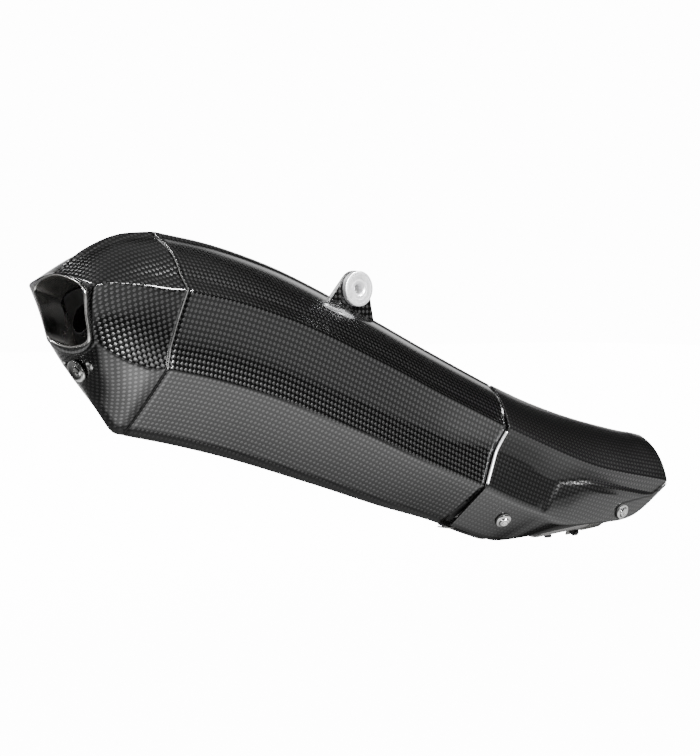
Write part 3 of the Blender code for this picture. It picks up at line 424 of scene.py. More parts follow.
def shield_half(at):
    """Fine points of the half outline, from the top ridge to the bottom edge on the right side."""
    top, shoulder, side, lower, edge = shield_outline(at)
    crown = SHIELD_CROWN_REAR + (SHIELD_CROWN_FRONT - SHIELD_CROWN_REAR) * at / SHIELD_END
    down = shoulder - top
    lift = Vector((0.0, down.z, -down.y)).normalized() * crown
    middle = (shoulder + side) / 2
    hollow = middle + Vector((0.0, SHIELD_HOLLOW, 0.0))
    pull = hollow * 2 - middle

    def place(q):
        """Keys: 0 top, 1 shoulder, 2 hollow, 3 side, 4 lower corner and 5 edge."""
        if q <= 1.0:
            return top + down * q + lift * (4 * q * (1 - q))
        if q < 3.0:
            u = (q - 1.0) / 2.0
            return shoulder * (1 - u) ** 2 + pull * 2 * u * (1 - u) + side * u * u
        if q < 4.0:
            return side.lerp(lower, q - 3.0)
        return lower.lerp(edge, q - 4.0)

    points = []
    for q in SHIELD_COLUMNS:
        corner = next((k for k, reach in SHIELD_FILLETS.items() if abs(q - k) < reach), None)
        if corner is None:
            points.append(place(q))
            continue
        reach = SHIELD_FILLETS[corner]
        t = (q - corner + reach) / (2 * reach)
        points.append(place(corner - reach) * (1 - t) ** 2 + place(float(corner)) * 2 * t * (1 - t)
                      + place(corner + reach) * t * t)
    return points


def distance_into_panel(x, z):
    """Signed distance from the raised panel's outline on the shield's side, positive inside it."""
    inside, nearest = False, math.inf
    count = len(PANEL_CORNERS)
    for i in range(count):
        (x0, z0), (x1, z1) = PANEL_CORNERS[i], PANEL_CORNERS[(i + 1) % count]
        length = math.hypot(x1 - x0, z1 - z0)
        t = min(max(((x - x0) * (x1 - x0) + (z - z0) * (z1 - z0)) / length ** 2, 0.0), 1.0)
        nearest = min(nearest, math.hypot(x - x0 - (x1 - x0) * t, z - z0 - (z1 - z0) * t))
        if (z0 > z) != (z1 > z) and x < x0 + (x1 - x0) * (z - z0) / (z1 - z0):
            inside = not inside
    return nearest if inside else -nearest


def shield_grid():
    """Rows of outer points from the right bottom edge over the top to the left bottom edge."""
    rows = []
    for at in steps(SHIELD_START, SHIELD_END, SHIELD_ROWS):
        right = shield_half(at)
        left = [Vector((p.x, -p.y, p.z)) for p in right]
        rows.append(right[::-1] + left[1:])
    return rows


def grid_normals(rows):
    """The outward direction at each point of the grid."""
    count, last = len(rows[0]), len(rows) - 1
    normals = []
    for i in range(len(rows)):
        line = []
        for j in range(count):
            ahead = rows[min(i + 1, last)][j] - rows[max(i - 1, 0)][j]
            round_it = rows[i][min(j + 1, count - 1)] - rows[i][max(j - 1, 0)]
            line.append(ahead.cross(round_it).normalized())
        normals.append(line)
    if normals[last // 2][count // 2].z < 0:
        normals = [[-n for n in line] for line in normals]
    return normals


def panel_rise(p):
    """How far the raised panel lifts the skin at a point."""
    height = min(max((p.z - PANEL_FOOT) / PANEL_HEIGHT, 0.0), 1.0)
    lead = min(max((p.x - PANEL_REAR - PANEL_LEAN * (p.z - PANEL_FOOT)) / PANEL_LEAD, 0.0), 1.0)
    full = PANEL_RISE_LOW + (PANEL_RISE_HIGH - PANEL_RISE_LOW) * height
    rise = full * (PANEL_REAR_SHARE + (1.0 - PANEL_REAR_SHARE) * lead)
    return rise * smoothstep(-PANEL_BEVEL / 2, PANEL_BEVEL / 2, distance_into_panel(p.x, p.z))


def thick_sheet(outer, inner):
    """Vertices and faces of a sheet between two grids of points, closed along their rims."""
    count, last = len(outer[0]), len(outer) - 1
    under = len(outer) * count
    verts = [p for line in outer + inner for p in line]
    faces = []
    for i in range(last):
        for j in range(count - 1):
            a, b = i * count + j, i * count + j + 1
            c, d = b + count, a + count
            faces.append((a, b, c, d))
            faces.append((d + under, c + under, b + under, a + under))
    rim = list(range(count - 1, 0, -1))
    rim += [i * count for i in range(last)]
    rim += [last * count + j for j in range(count - 1)]
    rim += [i * count + count - 1 for i in range(last, 0, -1)]
    for a, b in zip(rim, rim[1:] + rim[:1]):
        faces.append((a, b, b + under, a + under))
    return verts, outward(verts, faces)


def shield_uvs(rows, shoulder):
    """Cloth coordinates in dots on the shield: along it, and down each side from the shoulder's column."""
    count = len(rows[0])
    middle = count // 2
    uvs = []
    along = [0.0] * count
    for i, line in enumerate(rows):
        if i:
            along = [along[j] + (line[j] - rows[i - 1][j]).length for j in range(count)]
        right = [0.0]
        for j in range(1, middle + 1):
            right.append(right[-1] + (line[j] - line[j - 1]).length)
        whole = right + right[-2::-1]
        across = [value - right[shoulder] for value in whole]
        uvs += [(u / SHIELD_WEAVE, v / SHIELD_WEAVE) for u, v in zip(along, across)]
    return uvs


def build_shield(look):
    """The carbon shield: one thick sheet with a raised panel on each side and softened edges."""
    rows = shield_grid()
    outer, inner = [], []
    for line, facing in zip(rows, grid_normals(rows)):
        outer.append([p + n * panel_rise(p) for p, n in zip(line, facing)])
        inner.append([p - n * SHIELD_WALL for p, n in zip(line, facing)])
    verts, faces = thick_sheet(outer, inner)
    shoulder = len(rows[0]) // 2 - SHIELD_COLUMNS.index(1)
    piece = new_piece("carbon_heat_shield", verts, faces, look, shield_uvs(outer, shoulder) * 2,
                      stands_for=("heat_shield",))
    bevel = piece.modifiers.new("soft_edges", "BEVEL")
    bevel.width = SOFT_EDGE * MM
    bevel.segments = 2
    bevel.limit_method = "ANGLE"
    bevel.angle_limit = math.radians(SOFT_EDGE_ANGLE)


BEAD_RADIUS, BEAD_START, BEAD_END, BEAD_SIDES = 1.3, 1.35, 3.9, 12        # start and end are key numbers
BEAD_FORWARD, BEAD_SUNK = 0.5, 0.4              # the bead's middle from the edge, in radii
BEAD_STEP = 0.05                                # stations to the next row, which gives the way forward


def bead_loops(side):
    """Rings of the bead along the shield's rear edge. Side is 1 on the right and -1 on the left."""
    first = min(i for i, q in enumerate(SHIELD_COLUMNS) if q >= BEAD_START)
    last = min(i for i, q in enumerate(SHIELD_COLUMNS) if q >= BEAD_END)
    edge, ahead = shield_half(SHIELD_START), shield_half(SHIELD_START + BEAD_STEP)
    loops = []
    for i in range(first, last + 1):
        run = (edge[i + 1] - edge[i - 1]).normalized()
        forward = (ahead[i] - edge[i]).normalized()
        outwards = forward.cross(run).normalized()
        if outwards.y > 0:
            outwards = -outwards
        centre = edge[i] + forward * BEAD_RADIUS * BEAD_FORWARD - outwards * BEAD_RADIUS * BEAD_SUNK
        loop = []
        for k in range(BEAD_SIDES):
            angle = math.tau * k / BEAD_SIDES
            p = centre + (outwards * math.cos(angle) + forward * math.sin(angle)) * BEAD_RADIUS
            loop.append(Vector((p.x, p.y * side, p.z)))
        loops.append(loop)
    return loops


def build_shield_highlight_bead(look):
    """A bright metal bead along the shield's rear edge, from below each shoulder down to the lower corner:
    a painted highlight, standing in for the light caught by the shield's carbon edge.
    """
    for side, name in ((1, "rear_highlight_bead_right"), (-1, "rear_highlight_bead_left")):
        verts, faces = lofted(bead_loops(side), close_rows=False, cap_ends=True)
        new_piece(name, verts, faces, look)


# ---------------------------------------------------------------- turned and many-sided metal pieces
SCREW_POINTS, BOSS_POINTS = 48, 72
SCREW_SHARP, BOSS_SHARP, SKIRT_SHARP = 28.0, 24.0, 30.0
SMALL_STEP = 0.02                       # stations or key numbers between two points that give a direction


def ring(radius, z, place, points, hexagon=False):
    """A closed loop about local z: a circle, or a hexagon of that apothem."""
    loop = []
    for j in range(points):
        angle = math.tau * j / points
        reach = radius
        if hexagon:
            reach = radius / math.cos((angle + math.pi / 6) % (math.pi / 3) - math.pi / 6)
        loop.append(place @ Vector((reach * math.cos(angle), reach * math.sin(angle), z)))
    return loop


def build_screw(name, turned, socket, place, look, node):
    """A screw from its turned profile and its hexagon socket, both as (radius, z), z out of the head."""
    loops = [ring(radius, z, place, SCREW_POINTS) for radius, z in turned]
    loops += [ring(apothem, z, place, SCREW_POINTS, hexagon=True) for apothem, z in socket]
    verts, faces = lofted(loops, close_rows=False, cap_ends=True)
    new_piece(name, verts, faces, look, sharp=SCREW_SHARP, stands_for=(node,))


def skin_point(at, q):
    """A point on the shield's right side by key number: 1 shoulder, 2 side, 3 lower corner and 4 edge."""
    keys = shield_outline(at)
    first = int(q)
    return keys[first].lerp(keys[first + 1], q - first)


def skin_place(at, q, side):
    """Placement on the shield, with local z outwards. Side is 1 on the right and -1 on the left."""
    here = skin_point(at, q)
    ahead = (skin_point(at + SMALL_STEP, q) - here).normalized()
    outwards = (skin_point(at, q + SMALL_STEP) - here).cross(ahead).normalized()
    if outwards.y > 0:
        outwards = -outwards
    here.y *= side
    outwards.y *= side
    ahead = Vector((ahead.x, ahead.y * side, ahead.z)) * side
    turn = Matrix((ahead, outwards.cross(ahead), outwards)).transposed().to_4x4()
    return Matrix.Translation(here) @ turn


SHIELD_SCREWS = (("rear", 1.18, 3.455), ("front", 4.585, 2.575))        # name, station and key number
PAN_HEAD = ((2.3, -6.4), (2.3, 1.55), (6.6, 1.55), (6.9, 1.7), (6.9, 2.1), (6.6, 2.35), (5.0, 2.6),
            (4.75, 2.8), (4.55, 3.9), (4.2, 4.4), (3.5, 4.7), (2.6, 4.75))
PAN_SOCKET = ((2.1, 4.6), (2.0, 2.9))


def build_shield_screws(look):
    """Two pan-head screws on each side of the shield."""
    for end, at, q in SHIELD_SCREWS:
        for side_name, side in (("right", 1), ("left", -1)):
            which = end + "_" + side_name
            build_screw("pan_head_" + which, PAN_HEAD, PAN_SOCKET, skin_place(at, q, side), look,
                        "shield_screw_" + which)


DAMPER_SCREW_STATION = 0.21
DISHED_HEAD = ((2.3, -17.8), (2.9, -17.2), (2.9, 1.1), (9.1, 1.0), (9.45, 1.3), (9.5, 2.5), (9.25, 2.95),
               (8.8, 3.05), (8.2, 2.75), (6.0, 2.15), (4.9, 2.1), (4.6, 2.5), (4.4, 3.05), (3.4, 3.15))
DISHED_SOCKET = ((2.7, 3.0), (2.6, 1.5))


def build_damper_screw(look):
    """The screw under the end cap, square to the bottom ridge."""
    s, t = station(DAMPER_SCREW_STATION), station(DAMPER_SCREW_STATION + SMALL_STEP)
    here = Vector((s["bottom_x"], 0.0, s["bottom_z"]))
    ahead = Vector((t["bottom_x"], 0.0, t["bottom_z"])) - here
    turn = Vector((ahead.z, 0.0, -ahead.x)).to_track_quat("Z", "Y").to_matrix().to_4x4()
    build_screw("dished_damper_screw", DISHED_HEAD, DISHED_SOCKET, Matrix.Translation(here) @ turn, look,
                "damper_screw")


BOSS_RINGS = ((4.3, -4.4), (4.6, -4.7), (6.0, -4.7), (6.3, -4.4), (6.3, 2.2), (14.4, 2.2), (15.0, 2.7),
              (15.0, 6.6), (14.7, 7.0), (14.2, 7.2), (12.9, 7.2), (12.6, 6.6), (12.1, 6.6), (11.8, 7.2),
              (9.4, 7.2), (9.0, 6.3), (7.4, 6.3), (7.2, 6.9), (6.3, 6.9), (5.2, 6.4), (4.5, 5.8),
              (4.3, 5.2))


def build_boss(look):
    """The bush: a flange turned with fine rings on its face, and the bolt's bore through it."""
    place = Matrix.Rotation(math.pi / 2, 4, "X")
    verts, faces = lofted([ring(radius, z, place, BOSS_POINTS) for radius, z in BOSS_RINGS])
    new_piece("turned_boss", verts, faces, look, sharp=BOSS_SHARP, stands_for=("hanger_bush",))


BLADE_FOOT_REAR, BLADE_FOOT_FRONT = Vector((-26.3, 0.0, -6.5)), Vector((19.4, 0.0, -27.4))
FACING_BACK, FACING_FACE = -1.4, -1.9           # y of the carbon facing on the blade
SKIRT_DOWN, SKIRT_UP_REAR, SKIRT_UP_FRONT, SKIRT_REAR_SHIFT = 1.0, 2.2, 1.3, 1.6


def build_facing_skirt(look):
    """The facing's lowest strip, from the blade's cut edge down to the sleeve."""
    along = (BLADE_FOOT_FRONT - BLADE_FOOT_REAR).normalized()
    up = Vector((-along.z, 0.0, along.x))
    corners = (BLADE_FOOT_REAR + along * SKIRT_REAR_SHIFT + up * SKIRT_UP_REAR,
               BLADE_FOOT_FRONT + up * SKIRT_UP_FRONT,
               BLADE_FOOT_FRONT - up * SKIRT_DOWN,
               BLADE_FOOT_REAR - up * SKIRT_DOWN)
    loops = [[corner + Vector((0.0, y, 0.0)) for corner in corners] for y in (FACING_BACK, FACING_FACE)]
    verts, faces = lofted(loops, close_rows=False, cap_ends=True)
    new_piece("facing_skirt", verts, faces, look, sharp=SKIRT_SHARP)


# ---------------------------------------------------------------- materials
NOISE_LOW, NOISE_HIGH = 0.3, 0.7                # the range that most of a noise lies in


class Graph:
    """Short names for the nodes a material is made of."""

    def __init__(self, name):
        self.material = bpy.data.materials.new(name)
        self.material.use_nodes = True
        self.tree = self.material.node_tree
        self.shader = self.tree.nodes["Principled BSDF"]

    def node(self, kind, inputs=(), **settings):
        made = self.tree.nodes.new(kind)
        for key, value in settings.items():
            setattr(made, key, value)
        for slot, value in dict(inputs).items():
            self.feed(made.inputs[slot], value)
        return made

    def feed(self, socket, value):
        if isinstance(value, bpy.types.NodeSocket):
            self.tree.links.new(value, socket)
        else:
            socket.default_value = value

    def math(self, operation, *values):
        return self.node("ShaderNodeMath", dict(enumerate(values)), operation=operation).outputs[0]

    def mix(self, share, first, second):
        """A colour between two colours."""
        made = self.node("ShaderNodeMix", data_type="RGBA")
        for socket, value in ((0, share), (6, first), (7, second)):
            self.feed(made.inputs[socket], rgba(value))
        return made.outputs[2]

    def ramp(self, value, low, high, to_low=0.0, to_high=1.0):
        """A smooth change from to_low, where the value is low, to to_high, where it is high."""
        made = self.node("ShaderNodeMapRange", {"Value": value, "From Min": low, "From Max": high,
                                                "To Min": to_low, "To Max": to_high})
        made.interpolation_type = "SMOOTHSTEP"
        return made.outputs[0]

    def set(self, **values):
        """Feed the shader's own sockets."""
        names = {"colour": "Base Color", "metallic": "Metallic", "roughness": "Roughness",
                 "normal": "Normal", "coat": "Coat Weight", "coat_roughness": "Coat Roughness",
                 "coat_ior": "Coat IOR", "specular": "Specular IOR Level"}
        for key, value in values.items():
            self.feed(self.shader.inputs[names[key]], rgba(value) if key == "colour" else value)
        return self.material

    def object_place(self):
        return self.node("ShaderNodeTexCoord").outputs["Object"]

    def noise(self, **inputs):
        return self.node("ShaderNodeTexNoise", inputs).outputs["Fac"]

    def bump(self, height, distance, strength):
        made = self.node("ShaderNodeBump", {"Height": height, "Distance": distance, "Strength": strength})
        return made.outputs[0]


def rgba(colour):
    """A colour of three values made opaque; anything else is passed on."""
    return (*colour, 1.0) if isinstance(colour, tuple) and len(colour) == 3 else colour


CARBON_ROUGHNESS, GAP_ROUGHNESS = 0.33, 0.39
PILLOW_FULL = 0.55                      # a tow shows its full colour where its arch is above this; towards its edges it darkens to the gap's tone: dark resin between the tows, and painted shade that rounds each tow
LACQUER = {"coat": 1.0, "coat_roughness": 0.03, "coat_ior": 1.7}


def cloth_axes(g, on_uv):
    """Cloth coordinates in dots, from the piece's own map or straight from the object's x and z."""
    if on_uv:
        place = g.node("ShaderNodeUVMap", uv_map="weave").outputs[0]
        axes = g.node("ShaderNodeSeparateXYZ", {0: place})
        return axes.outputs[0], axes.outputs[1]
    axes = g.node("ShaderNodeSeparateXYZ", {0: g.object_place()})
    u = g.math("MULTIPLY", axes.outputs[0], 1 / (WEAVE * MM))
    v = g.math("MULTIPLY", axes.outputs[2], -1 / (WEAVE * MM))
    return u, v


def carbon(name, fibre=0.10, painted_shade_share=0.08, gap=0.004, fan=14.0, on_uv=True):
    """Clear-coated plain weave laid at 45 degrees. The tows of one direction are bright and show as dots,
    and the others are painted darker, at a share of that brightness: painted shade, as the same fibre laid
    the other way catches less light. A mapped tow leans by so many degrees at its edges."""
    g = Graph(name)
    u, v = cloth_axes(g, on_uv)
    first, second = g.math("ADD", u, v), g.math("SUBTRACT", u, v)
    cell = g.math("ADD", g.math("FLOOR", first), g.math("FLOOR", second))
    over = g.math("GREATER_THAN", g.math("PINGPONG", cell, 1.0), 0.5)
    under = g.math("SUBTRACT", 1.0, over)
    arches, slopes = [], []
    for along, share in ((first, over), (second, under)):
        centred = g.math("SUBTRACT", g.math("FRACT", along), 0.5)
        arches.append(g.math("COSINE", g.math("MULTIPLY", centred, math.pi)))
        slope = g.math("MULTIPLY", g.math("MULTIPLY", centred, 2.0), math.tan(math.radians(fan)))
        slopes.append(g.math("MULTIPLY", slope, share))
    pillow = g.ramp(g.math("MULTIPLY", *arches), 0.0, PILLOW_FULL)
    # the other family's tows are painted darker by this share: painted shade
    dark = fibre * painted_shade_share
    tow = g.mix(over, (dark, dark, dark), (fibre, fibre, fibre))
    # darker from each tow's middle to its edges: dark resin in the gaps, and painted shade that rounds the
    # tow
    colour = g.mix(pillow, (gap, gap, gap), tow)
    g.set(colour=colour, roughness=g.ramp(pillow, 0.0, 1.0, GAP_ROUGHNESS, CARBON_ROUGHNESS), metallic=1.0,
          **LACQUER)
    if on_uv:
        half = 0.5 / math.sqrt(2.0)
        across = g.math("MULTIPLY", g.math("ADD", *slopes), half)
        down = g.math("MULTIPLY", g.math("SUBTRACT", *slopes), half)
        middle = {0: g.math("ADD", across, 0.5), 1: g.math("ADD", down, 0.5), 2: 1.0}
        tilt = g.node("ShaderNodeCombineXYZ", middle).outputs[0]
        g.set(normal=g.node("ShaderNodeNormalMap", {"Color": tilt}, uv_map="weave").outputs[0])
    return g.material


FINE_GRAIN, FINE_SPREAD, FINE_DEPTH = 900.0, 0.08, 0.00002        # scale, roughness either way, metres
BROAD_GRAIN, BROAD_SHADE = 60.0, 0.86


def brushed(name, colour, roughness, metallic=1.0, stretch=(1.0, 1.0, 1.0), depth=0.15):
    """Bare metal with fine wear: a stretched noise changes its roughness and its surface a little."""
    g = Graph(name)
    place = g.object_place()
    stretched = g.node("ShaderNodeMapping", {"Vector": place, "Scale": stretch}).outputs[0]
    fine = g.noise(Vector=stretched, Scale=FINE_GRAIN, Detail=3.0)
    broad = g.noise(Vector=place, Scale=BROAD_GRAIN, Detail=2.0)
    darker = tuple(value * BROAD_SHADE for value in colour)
    tint = g.mix(g.ramp(broad, NOISE_LOW, NOISE_HIGH), darker, colour)
    rough = g.math("ADD", g.ramp(fine, NOISE_LOW, NOISE_HIGH, -FINE_SPREAD, FINE_SPREAD), roughness)
    normal = g.bump(fine, FINE_DEPTH, depth)
    return g.set(colour=tint, metallic=metallic, roughness=rough, normal=normal)


PAINTED_SHADE_TOP, PAINTED_SHADE_FADE = -0.058, 0.006             # heights of the painted shade on the steel's lower part, metres


def seam_steel(name):
    """Thin steel, bright high up and painted near black lower down: painted shade on its lower part."""
    g = Graph(name)
    height = g.node("ShaderNodeSeparateXYZ", {0: g.object_place()}).outputs[2]
    unshaded_share = g.ramp(height, PAINTED_SHADE_TOP - PAINTED_SHADE_FADE, PAINTED_SHADE_TOP)
    # below the top height the steel is painted near black and made rougher: painted shade
    tint = g.mix(unshaded_share, (0.03, 0.03, 0.03), (0.72, 0.72, 0.71))
    return g.set(colour=tint, metallic=1.0, roughness=g.ramp(unshaded_share, 0.0, 1.0, 0.5, 0.25))


GRAIN_SHADE, GRAIN_DEPTH = 0.7, 0.00005


def plain(name, colour, roughness, metallic=0.0, scale=400.0, depth=0.2):
    """A dull surface, such as rubber, with a fine grain."""
    g = Graph(name)
    grain = g.noise(Vector=g.object_place(), Scale=scale, Detail=4.0)
    darker = tuple(value * GRAIN_SHADE for value in colour)
    normal = g.bump(grain, GRAIN_DEPTH, depth)
    return g.set(colour=g.mix(grain, darker, colour), metallic=metallic, roughness=roughness, normal=normal)


def glass_wool(name):
    """Yellow packing of tangled strands."""
    g = Graph(name)
    strands = g.noise(Vector=g.object_place(), Scale=500.0, Detail=6.0, Distortion=2.0)
    tint = g.mix(strands, (0.55, 0.47, 0.24), (0.85, 0.79, 0.56))
    return g.set(colour=tint, roughness=0.95, normal=g.bump(strands, 0.0006, 0.8))


SOOT_START, SOOT_FULL, SOOT_BLOTCH = 0.004, 0.03, 0.004         # depths from the mouth, metres


def liner_steel(name):
    """The outlet's steel: bright at the rolled rim and browned by soot deeper in."""
    g = Graph(name)
    place = g.object_place()
    axes = g.node("ShaderNodeSeparateXYZ", {0: place})
    depth = g.math("ADD", g.math("MULTIPLY", axes.outputs[0], AXIS.x),
                   g.math("MULTIPLY", axes.outputs[2], AXIS.z))
    blotch = g.noise(Vector=place, Scale=70.0, Detail=5.0)
    worn = g.math("ADD", depth, g.ramp(blotch, NOISE_LOW, NOISE_HIGH, -SOOT_BLOTCH, SOOT_BLOTCH))
    mouth = (MOUTH_BOTTOM[0] * AXIS.x + MOUTH_BOTTOM[1] * AXIS.z) * MM
    soot = g.ramp(worn, mouth + SOOT_START, mouth + SOOT_FULL)
    tint = g.mix(soot, (0.80, 0.79, 0.77), (0.09, 0.075, 0.062))
    return g.set(colour=tint, metallic=g.ramp(soot, 0.0, 1.0, 1.0, 0.5),
                 roughness=g.ramp(soot, 0.0, 1.0, 0.24, 0.5), normal=g.bump(blotch, 0.0001, 0.15))


def dress(looks):
    """Give every CAD node the look of the record's material slot it carries."""
    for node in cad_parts.values():
        for place in node.material_slots:
            place.material = looks[place.material.name.split(".")[0]]


# ---------------------------------------------------------------- stage
CAMERA_PLACE, CAMERA_TARGET = (-1.5483, -1.8398, 0.0086), (-0.0065, -0.0024, -0.0752)
CAMERA_LENS = 135.66
FLOOR_Z, FLOOR_REACH = -0.42, 12.0
WHITE = 14.0                            # strength of what the eye sees behind the object
FLOOR_GLOW, SPOT_GLOW, BACKDROP_GLOW = 1.4, 1.5, 1.0
SPOT_PLACE, SHADOW_PLACE = (-0.22, -0.25, 0.0), (0.33, 0.0, 0.0)
# the glow fades: from, to, value at from and value at to, in metres from the origin
NEAR_FADE = (-0.19, 0.04, 1.0, 0.12)
MIDDLE_FADE = (0.20, 0.50, 1.0, 0.42)
FAR_FADE = (0.62, 0.95, 1.0, 0.05)
REAR_FADE = (-0.75, -0.40, 0.15, 1.0)
FRONT_FADE = (0.15, 0.65, 1.0, 0.65)
SHADOW_FADE = (0.04, 0.09, 0.04, 1.0)
SPOT_FADE = (0.02, 0.20, SPOT_GLOW, 0.0)
HORIZON_FADE = (0.8, 1.8, 0.0, BACKDROP_GLOW)
AHEAD_FROM, AHEAD_TURN = 0.3, 0.75              # the outer fades move outwards ahead of this x
REAR_FROM, REAR_TURN = -0.2, 0.5                # the near fade slants between this x and the origin


def floor_glow(g):
    """The floor glows softly round the object and is dim further out; the eye sees it as pure white."""
    eye = g.node("ShaderNodeLightPath").outputs["Is Camera Ray"]
    place = g.object_place()
    axes = g.node("ShaderNodeSeparateXYZ", {0: place})
    x, y = axes.outputs[0], axes.outputs[1]

    def distance(middle):
        return g.node("ShaderNodeVectorMath", {0: place, 1: middle}, operation="DISTANCE").outputs["Value"]

    ahead = g.math("MAXIMUM", g.math("SUBTRACT", x, AHEAD_FROM), 0.0)
    out = g.math("SUBTRACT", g.math("MULTIPLY", y, -1.0), g.math("MULTIPLY", ahead, AHEAD_TURN))
    rearwards = g.math("MINIMUM", g.math("MAXIMUM", x, REAR_FROM), 0.0)
    slanted = g.math("ADD", y, g.math("MULTIPLY", rearwards, REAR_TURN))
    glow = g.ramp(slanted, *NEAR_FADE)
    for value, fade in ((out, MIDDLE_FADE), (out, FAR_FADE), (x, REAR_FADE), (x, FRONT_FADE),
                        (distance(SHADOW_PLACE), SHADOW_FADE)):
        glow = g.math("MULTIPLY", glow, g.ramp(value, *fade))
    extra = g.math("ADD", g.ramp(distance(SPOT_PLACE), *SPOT_FADE), g.ramp(y, *HORIZON_FADE))
    lit = g.math("ADD", g.math("MULTIPLY", glow, FLOOR_GLOW), extra)
    strength = g.math("ADD", lit, g.math("MULTIPLY", eye, WHITE))
    g.set(colour=(0.0, 0.0, 0.0), roughness=1.0, specular=0.0)
    g.feed(g.shader.inputs["Emission Color"], (1.0, 1.0, 1.0, 1.0))
    g.feed(g.shader.inputs["Emission Strength"], strength)
    return g.material


def build_floor():
    """One wide square below the object."""
    corners = [(x * FLOOR_REACH, y * FLOOR_REACH, 0.0) for x, y in ((-1, -1), (1, -1), (1, 1), (-1, 1))]
    mesh = bpy.data.meshes.new("floor")
    mesh.from_pydata(corners, [], [(0, 1, 2, 3)])
    mesh.materials.append(floor_glow(Graph("pale_floor")))
    floor = bpy.data.objects.new("floor", mesh)
    floor.location.z = FLOOR_Z
    bpy.context.scene.collection.objects.link(floor)


DARK = 0.006                            # strength of the world away from its lobes
LOBES = (((0.64, 0.766, 0.15), 0.91, 1.0, 1.15),       # backdrop: direction, edge, core, brightness
         ((0.35, 0.10, 0.93), 0.80, 0.97, 0.22),       # ceiling
         ((-0.60, 0.75, 0.10), 0.80, 0.95, 0.15))      # left


def build_world():
    """Soft lobes of light behind, above and to the left, dark elsewhere; the eye sees white everywhere."""
    world = bpy.data.worlds.new("studio")
    bpy.context.scene.world = world
    world.use_nodes = True
    tree = world.node_tree
    shader = tree.nodes["Background"]
    shader.inputs["Color"].default_value = (1.0, 1.0, 1.0, 1.0)

    def node(kind, **settings):
        made = tree.nodes.new(kind)
        for key, value in settings.items():
            setattr(made, key, value)
        return made

    place = node("ShaderNodeTexCoord").outputs["Generated"]
    total = node("ShaderNodeValue").outputs[0]
    total.default_value = DARK
    for direction, edge, core, brightness in LOBES:
        along = node("ShaderNodeVectorMath", operation="DOT_PRODUCT")
        tree.links.new(place, along.inputs[0])
        along.inputs[1].default_value = Vector(direction).normalized()
        glow = node("ShaderNodeMapRange", interpolation_type="SMOOTHSTEP")
        tree.links.new(along.outputs["Value"], glow.inputs["Value"])
        for socket, value in (("From Min", edge), ("From Max", core), ("To Max", brightness)):
            glow.inputs[socket].default_value = value
        added = node("ShaderNodeMath", operation="ADD")
        tree.links.new(total, added.inputs[0])
        tree.links.new(glow.outputs[0], added.inputs[1])
        total = added.outputs[0]
    eye = node("ShaderNodeLightPath").outputs["Is Camera Ray"]
    pick = node("ShaderNodeMix", data_type="FLOAT")
    tree.links.new(eye, pick.inputs[0])
    tree.links.new(total, pick.inputs[2])
    pick.inputs[3].default_value = WHITE
    tree.links.new(pick.outputs[0], shader.inputs["Strength"])


def build_camera():
    """A long lens, turned from the right side towards the outlet and a little above."""
    data = bpy.data.cameras.new("camera")
    data.lens = CAMERA_LENS
    camera = bpy.data.objects.new("camera", data)
    camera.location = CAMERA_PLACE
    view = (Vector(CAMERA_TARGET) - Vector(CAMERA_PLACE)).normalized()
    camera.rotation_euler = view.to_track_quat("-Z", "Y").to_euler()
    bpy.context.scene.collection.objects.link(camera)
    bpy.context.scene.camera = camera


LAMPS = (("key", (-0.05, -0.94, 0.33), (0.5, 0.35), 230.0),        # name, direction, size, power
         ("ridge_lamp", (0.42, -0.66, 0.62), (0.35, 0.35), 130.0),
         ("back_lamp", (-0.45, 0.35, 0.82), (0.5, 0.5), 90.0),
         ("outlet_lamp", (-0.93, -0.25, 0.28), (0.3, 0.3), 14.0))
LAMP_TARGET, LAMP_DISTANCE = Vector((0.0, 0.0, -0.08)), 2.4


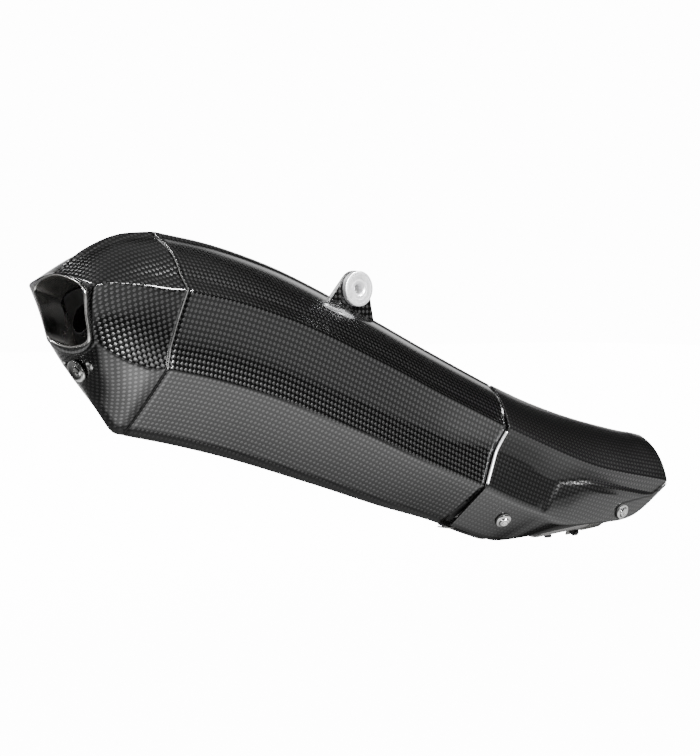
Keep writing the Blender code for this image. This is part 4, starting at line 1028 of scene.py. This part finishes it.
def build_lights():
    """Soft rectangular lamps, all at one distance from the object's middle and facing it."""
    for name, direction, size, power in LAMPS:
        data = bpy.data.lights.new(name, "AREA")
        data.shape = "RECTANGLE"
        data.size, data.size_y = size
        data.energy = power
        light = bpy.data.objects.new(name, data)
        light.location = LAMP_TARGET + Vector(direction).normalized() * LAMP_DISTANCE
        light.rotation_euler = (LAMP_TARGET - light.location).to_track_quat("-Z", "Y").to_euler()
        bpy.context.scene.collection.objects.link(light)


# ---------------------------------------------------------------- all of it
def make_looks():
    """The record's material slots, each with its look."""
    return {
        "carbon_cap": carbon("woven_cap"),
        "carbon_sleeve": carbon("woven_sleeve"),
        "carbon_shield": carbon("woven_shield", fibre=0.07, painted_shade_share=0.38, gap=0.014, fan=7.0),
        "carbon_facing": carbon("woven_facing", on_uv=False),
        "seam_steel": seam_steel("seam_steel"),
        "dark_steel": brushed("dark_steel", (0.09, 0.09, 0.09), 0.45),
        "inner_steel": brushed("inner_steel", (0.50, 0.49, 0.47), 0.36),
        "wire_wool": plain("wire_wool", (0.30, 0.30, 0.30), 0.55, 0.9, 1500.0, 1.0),
        "glass_wool": glass_wool("glass_wool"),
        "liner_steel": liner_steel("liner_steel"),
        "screw_steel": brushed("screw_steel", (0.80, 0.80, 0.79), 0.16, depth=0.05),
        "pipe_steel": brushed("pipe_steel", (0.82, 0.81, 0.80), 0.34, metallic=0.5,
                              stretch=(0.05, 1.0, 1.0)),
        "clamp_steel": brushed("clamp_steel", (0.60, 0.60, 0.58), 0.30),
        "bracket_aluminium": brushed("bracket_aluminium", (0.70, 0.70, 0.70), 0.34),
        "machined_aluminium": brushed("machined_aluminium", (0.86, 0.86, 0.87), 0.36, metallic=0.8,
                                      depth=0.08),
        "rubber_black": plain("rubber_black", (0.025, 0.025, 0.025), 0.72),
    }


def main():
    looks = make_looks()
    dress(looks)
    build_sleeve(looks["carbon_sleeve"])
    build_end_cap(looks["carbon_cap"])
    build_liner(looks["liner_steel"])
    build_shield(looks["carbon_shield"])
    # the bead's bright aluminium is a painted highlight on the shield's carbon edge
    build_shield_highlight_bead(looks["machined_aluminium"])
    build_shield_screws(looks["screw_steel"])
    build_damper_screw(looks["screw_steel"])
    build_boss(looks["machined_aluminium"])
    build_facing_skirt(looks["carbon_facing"])
    build_floor()
    build_world()
    build_lights()
    build_camera()


main()
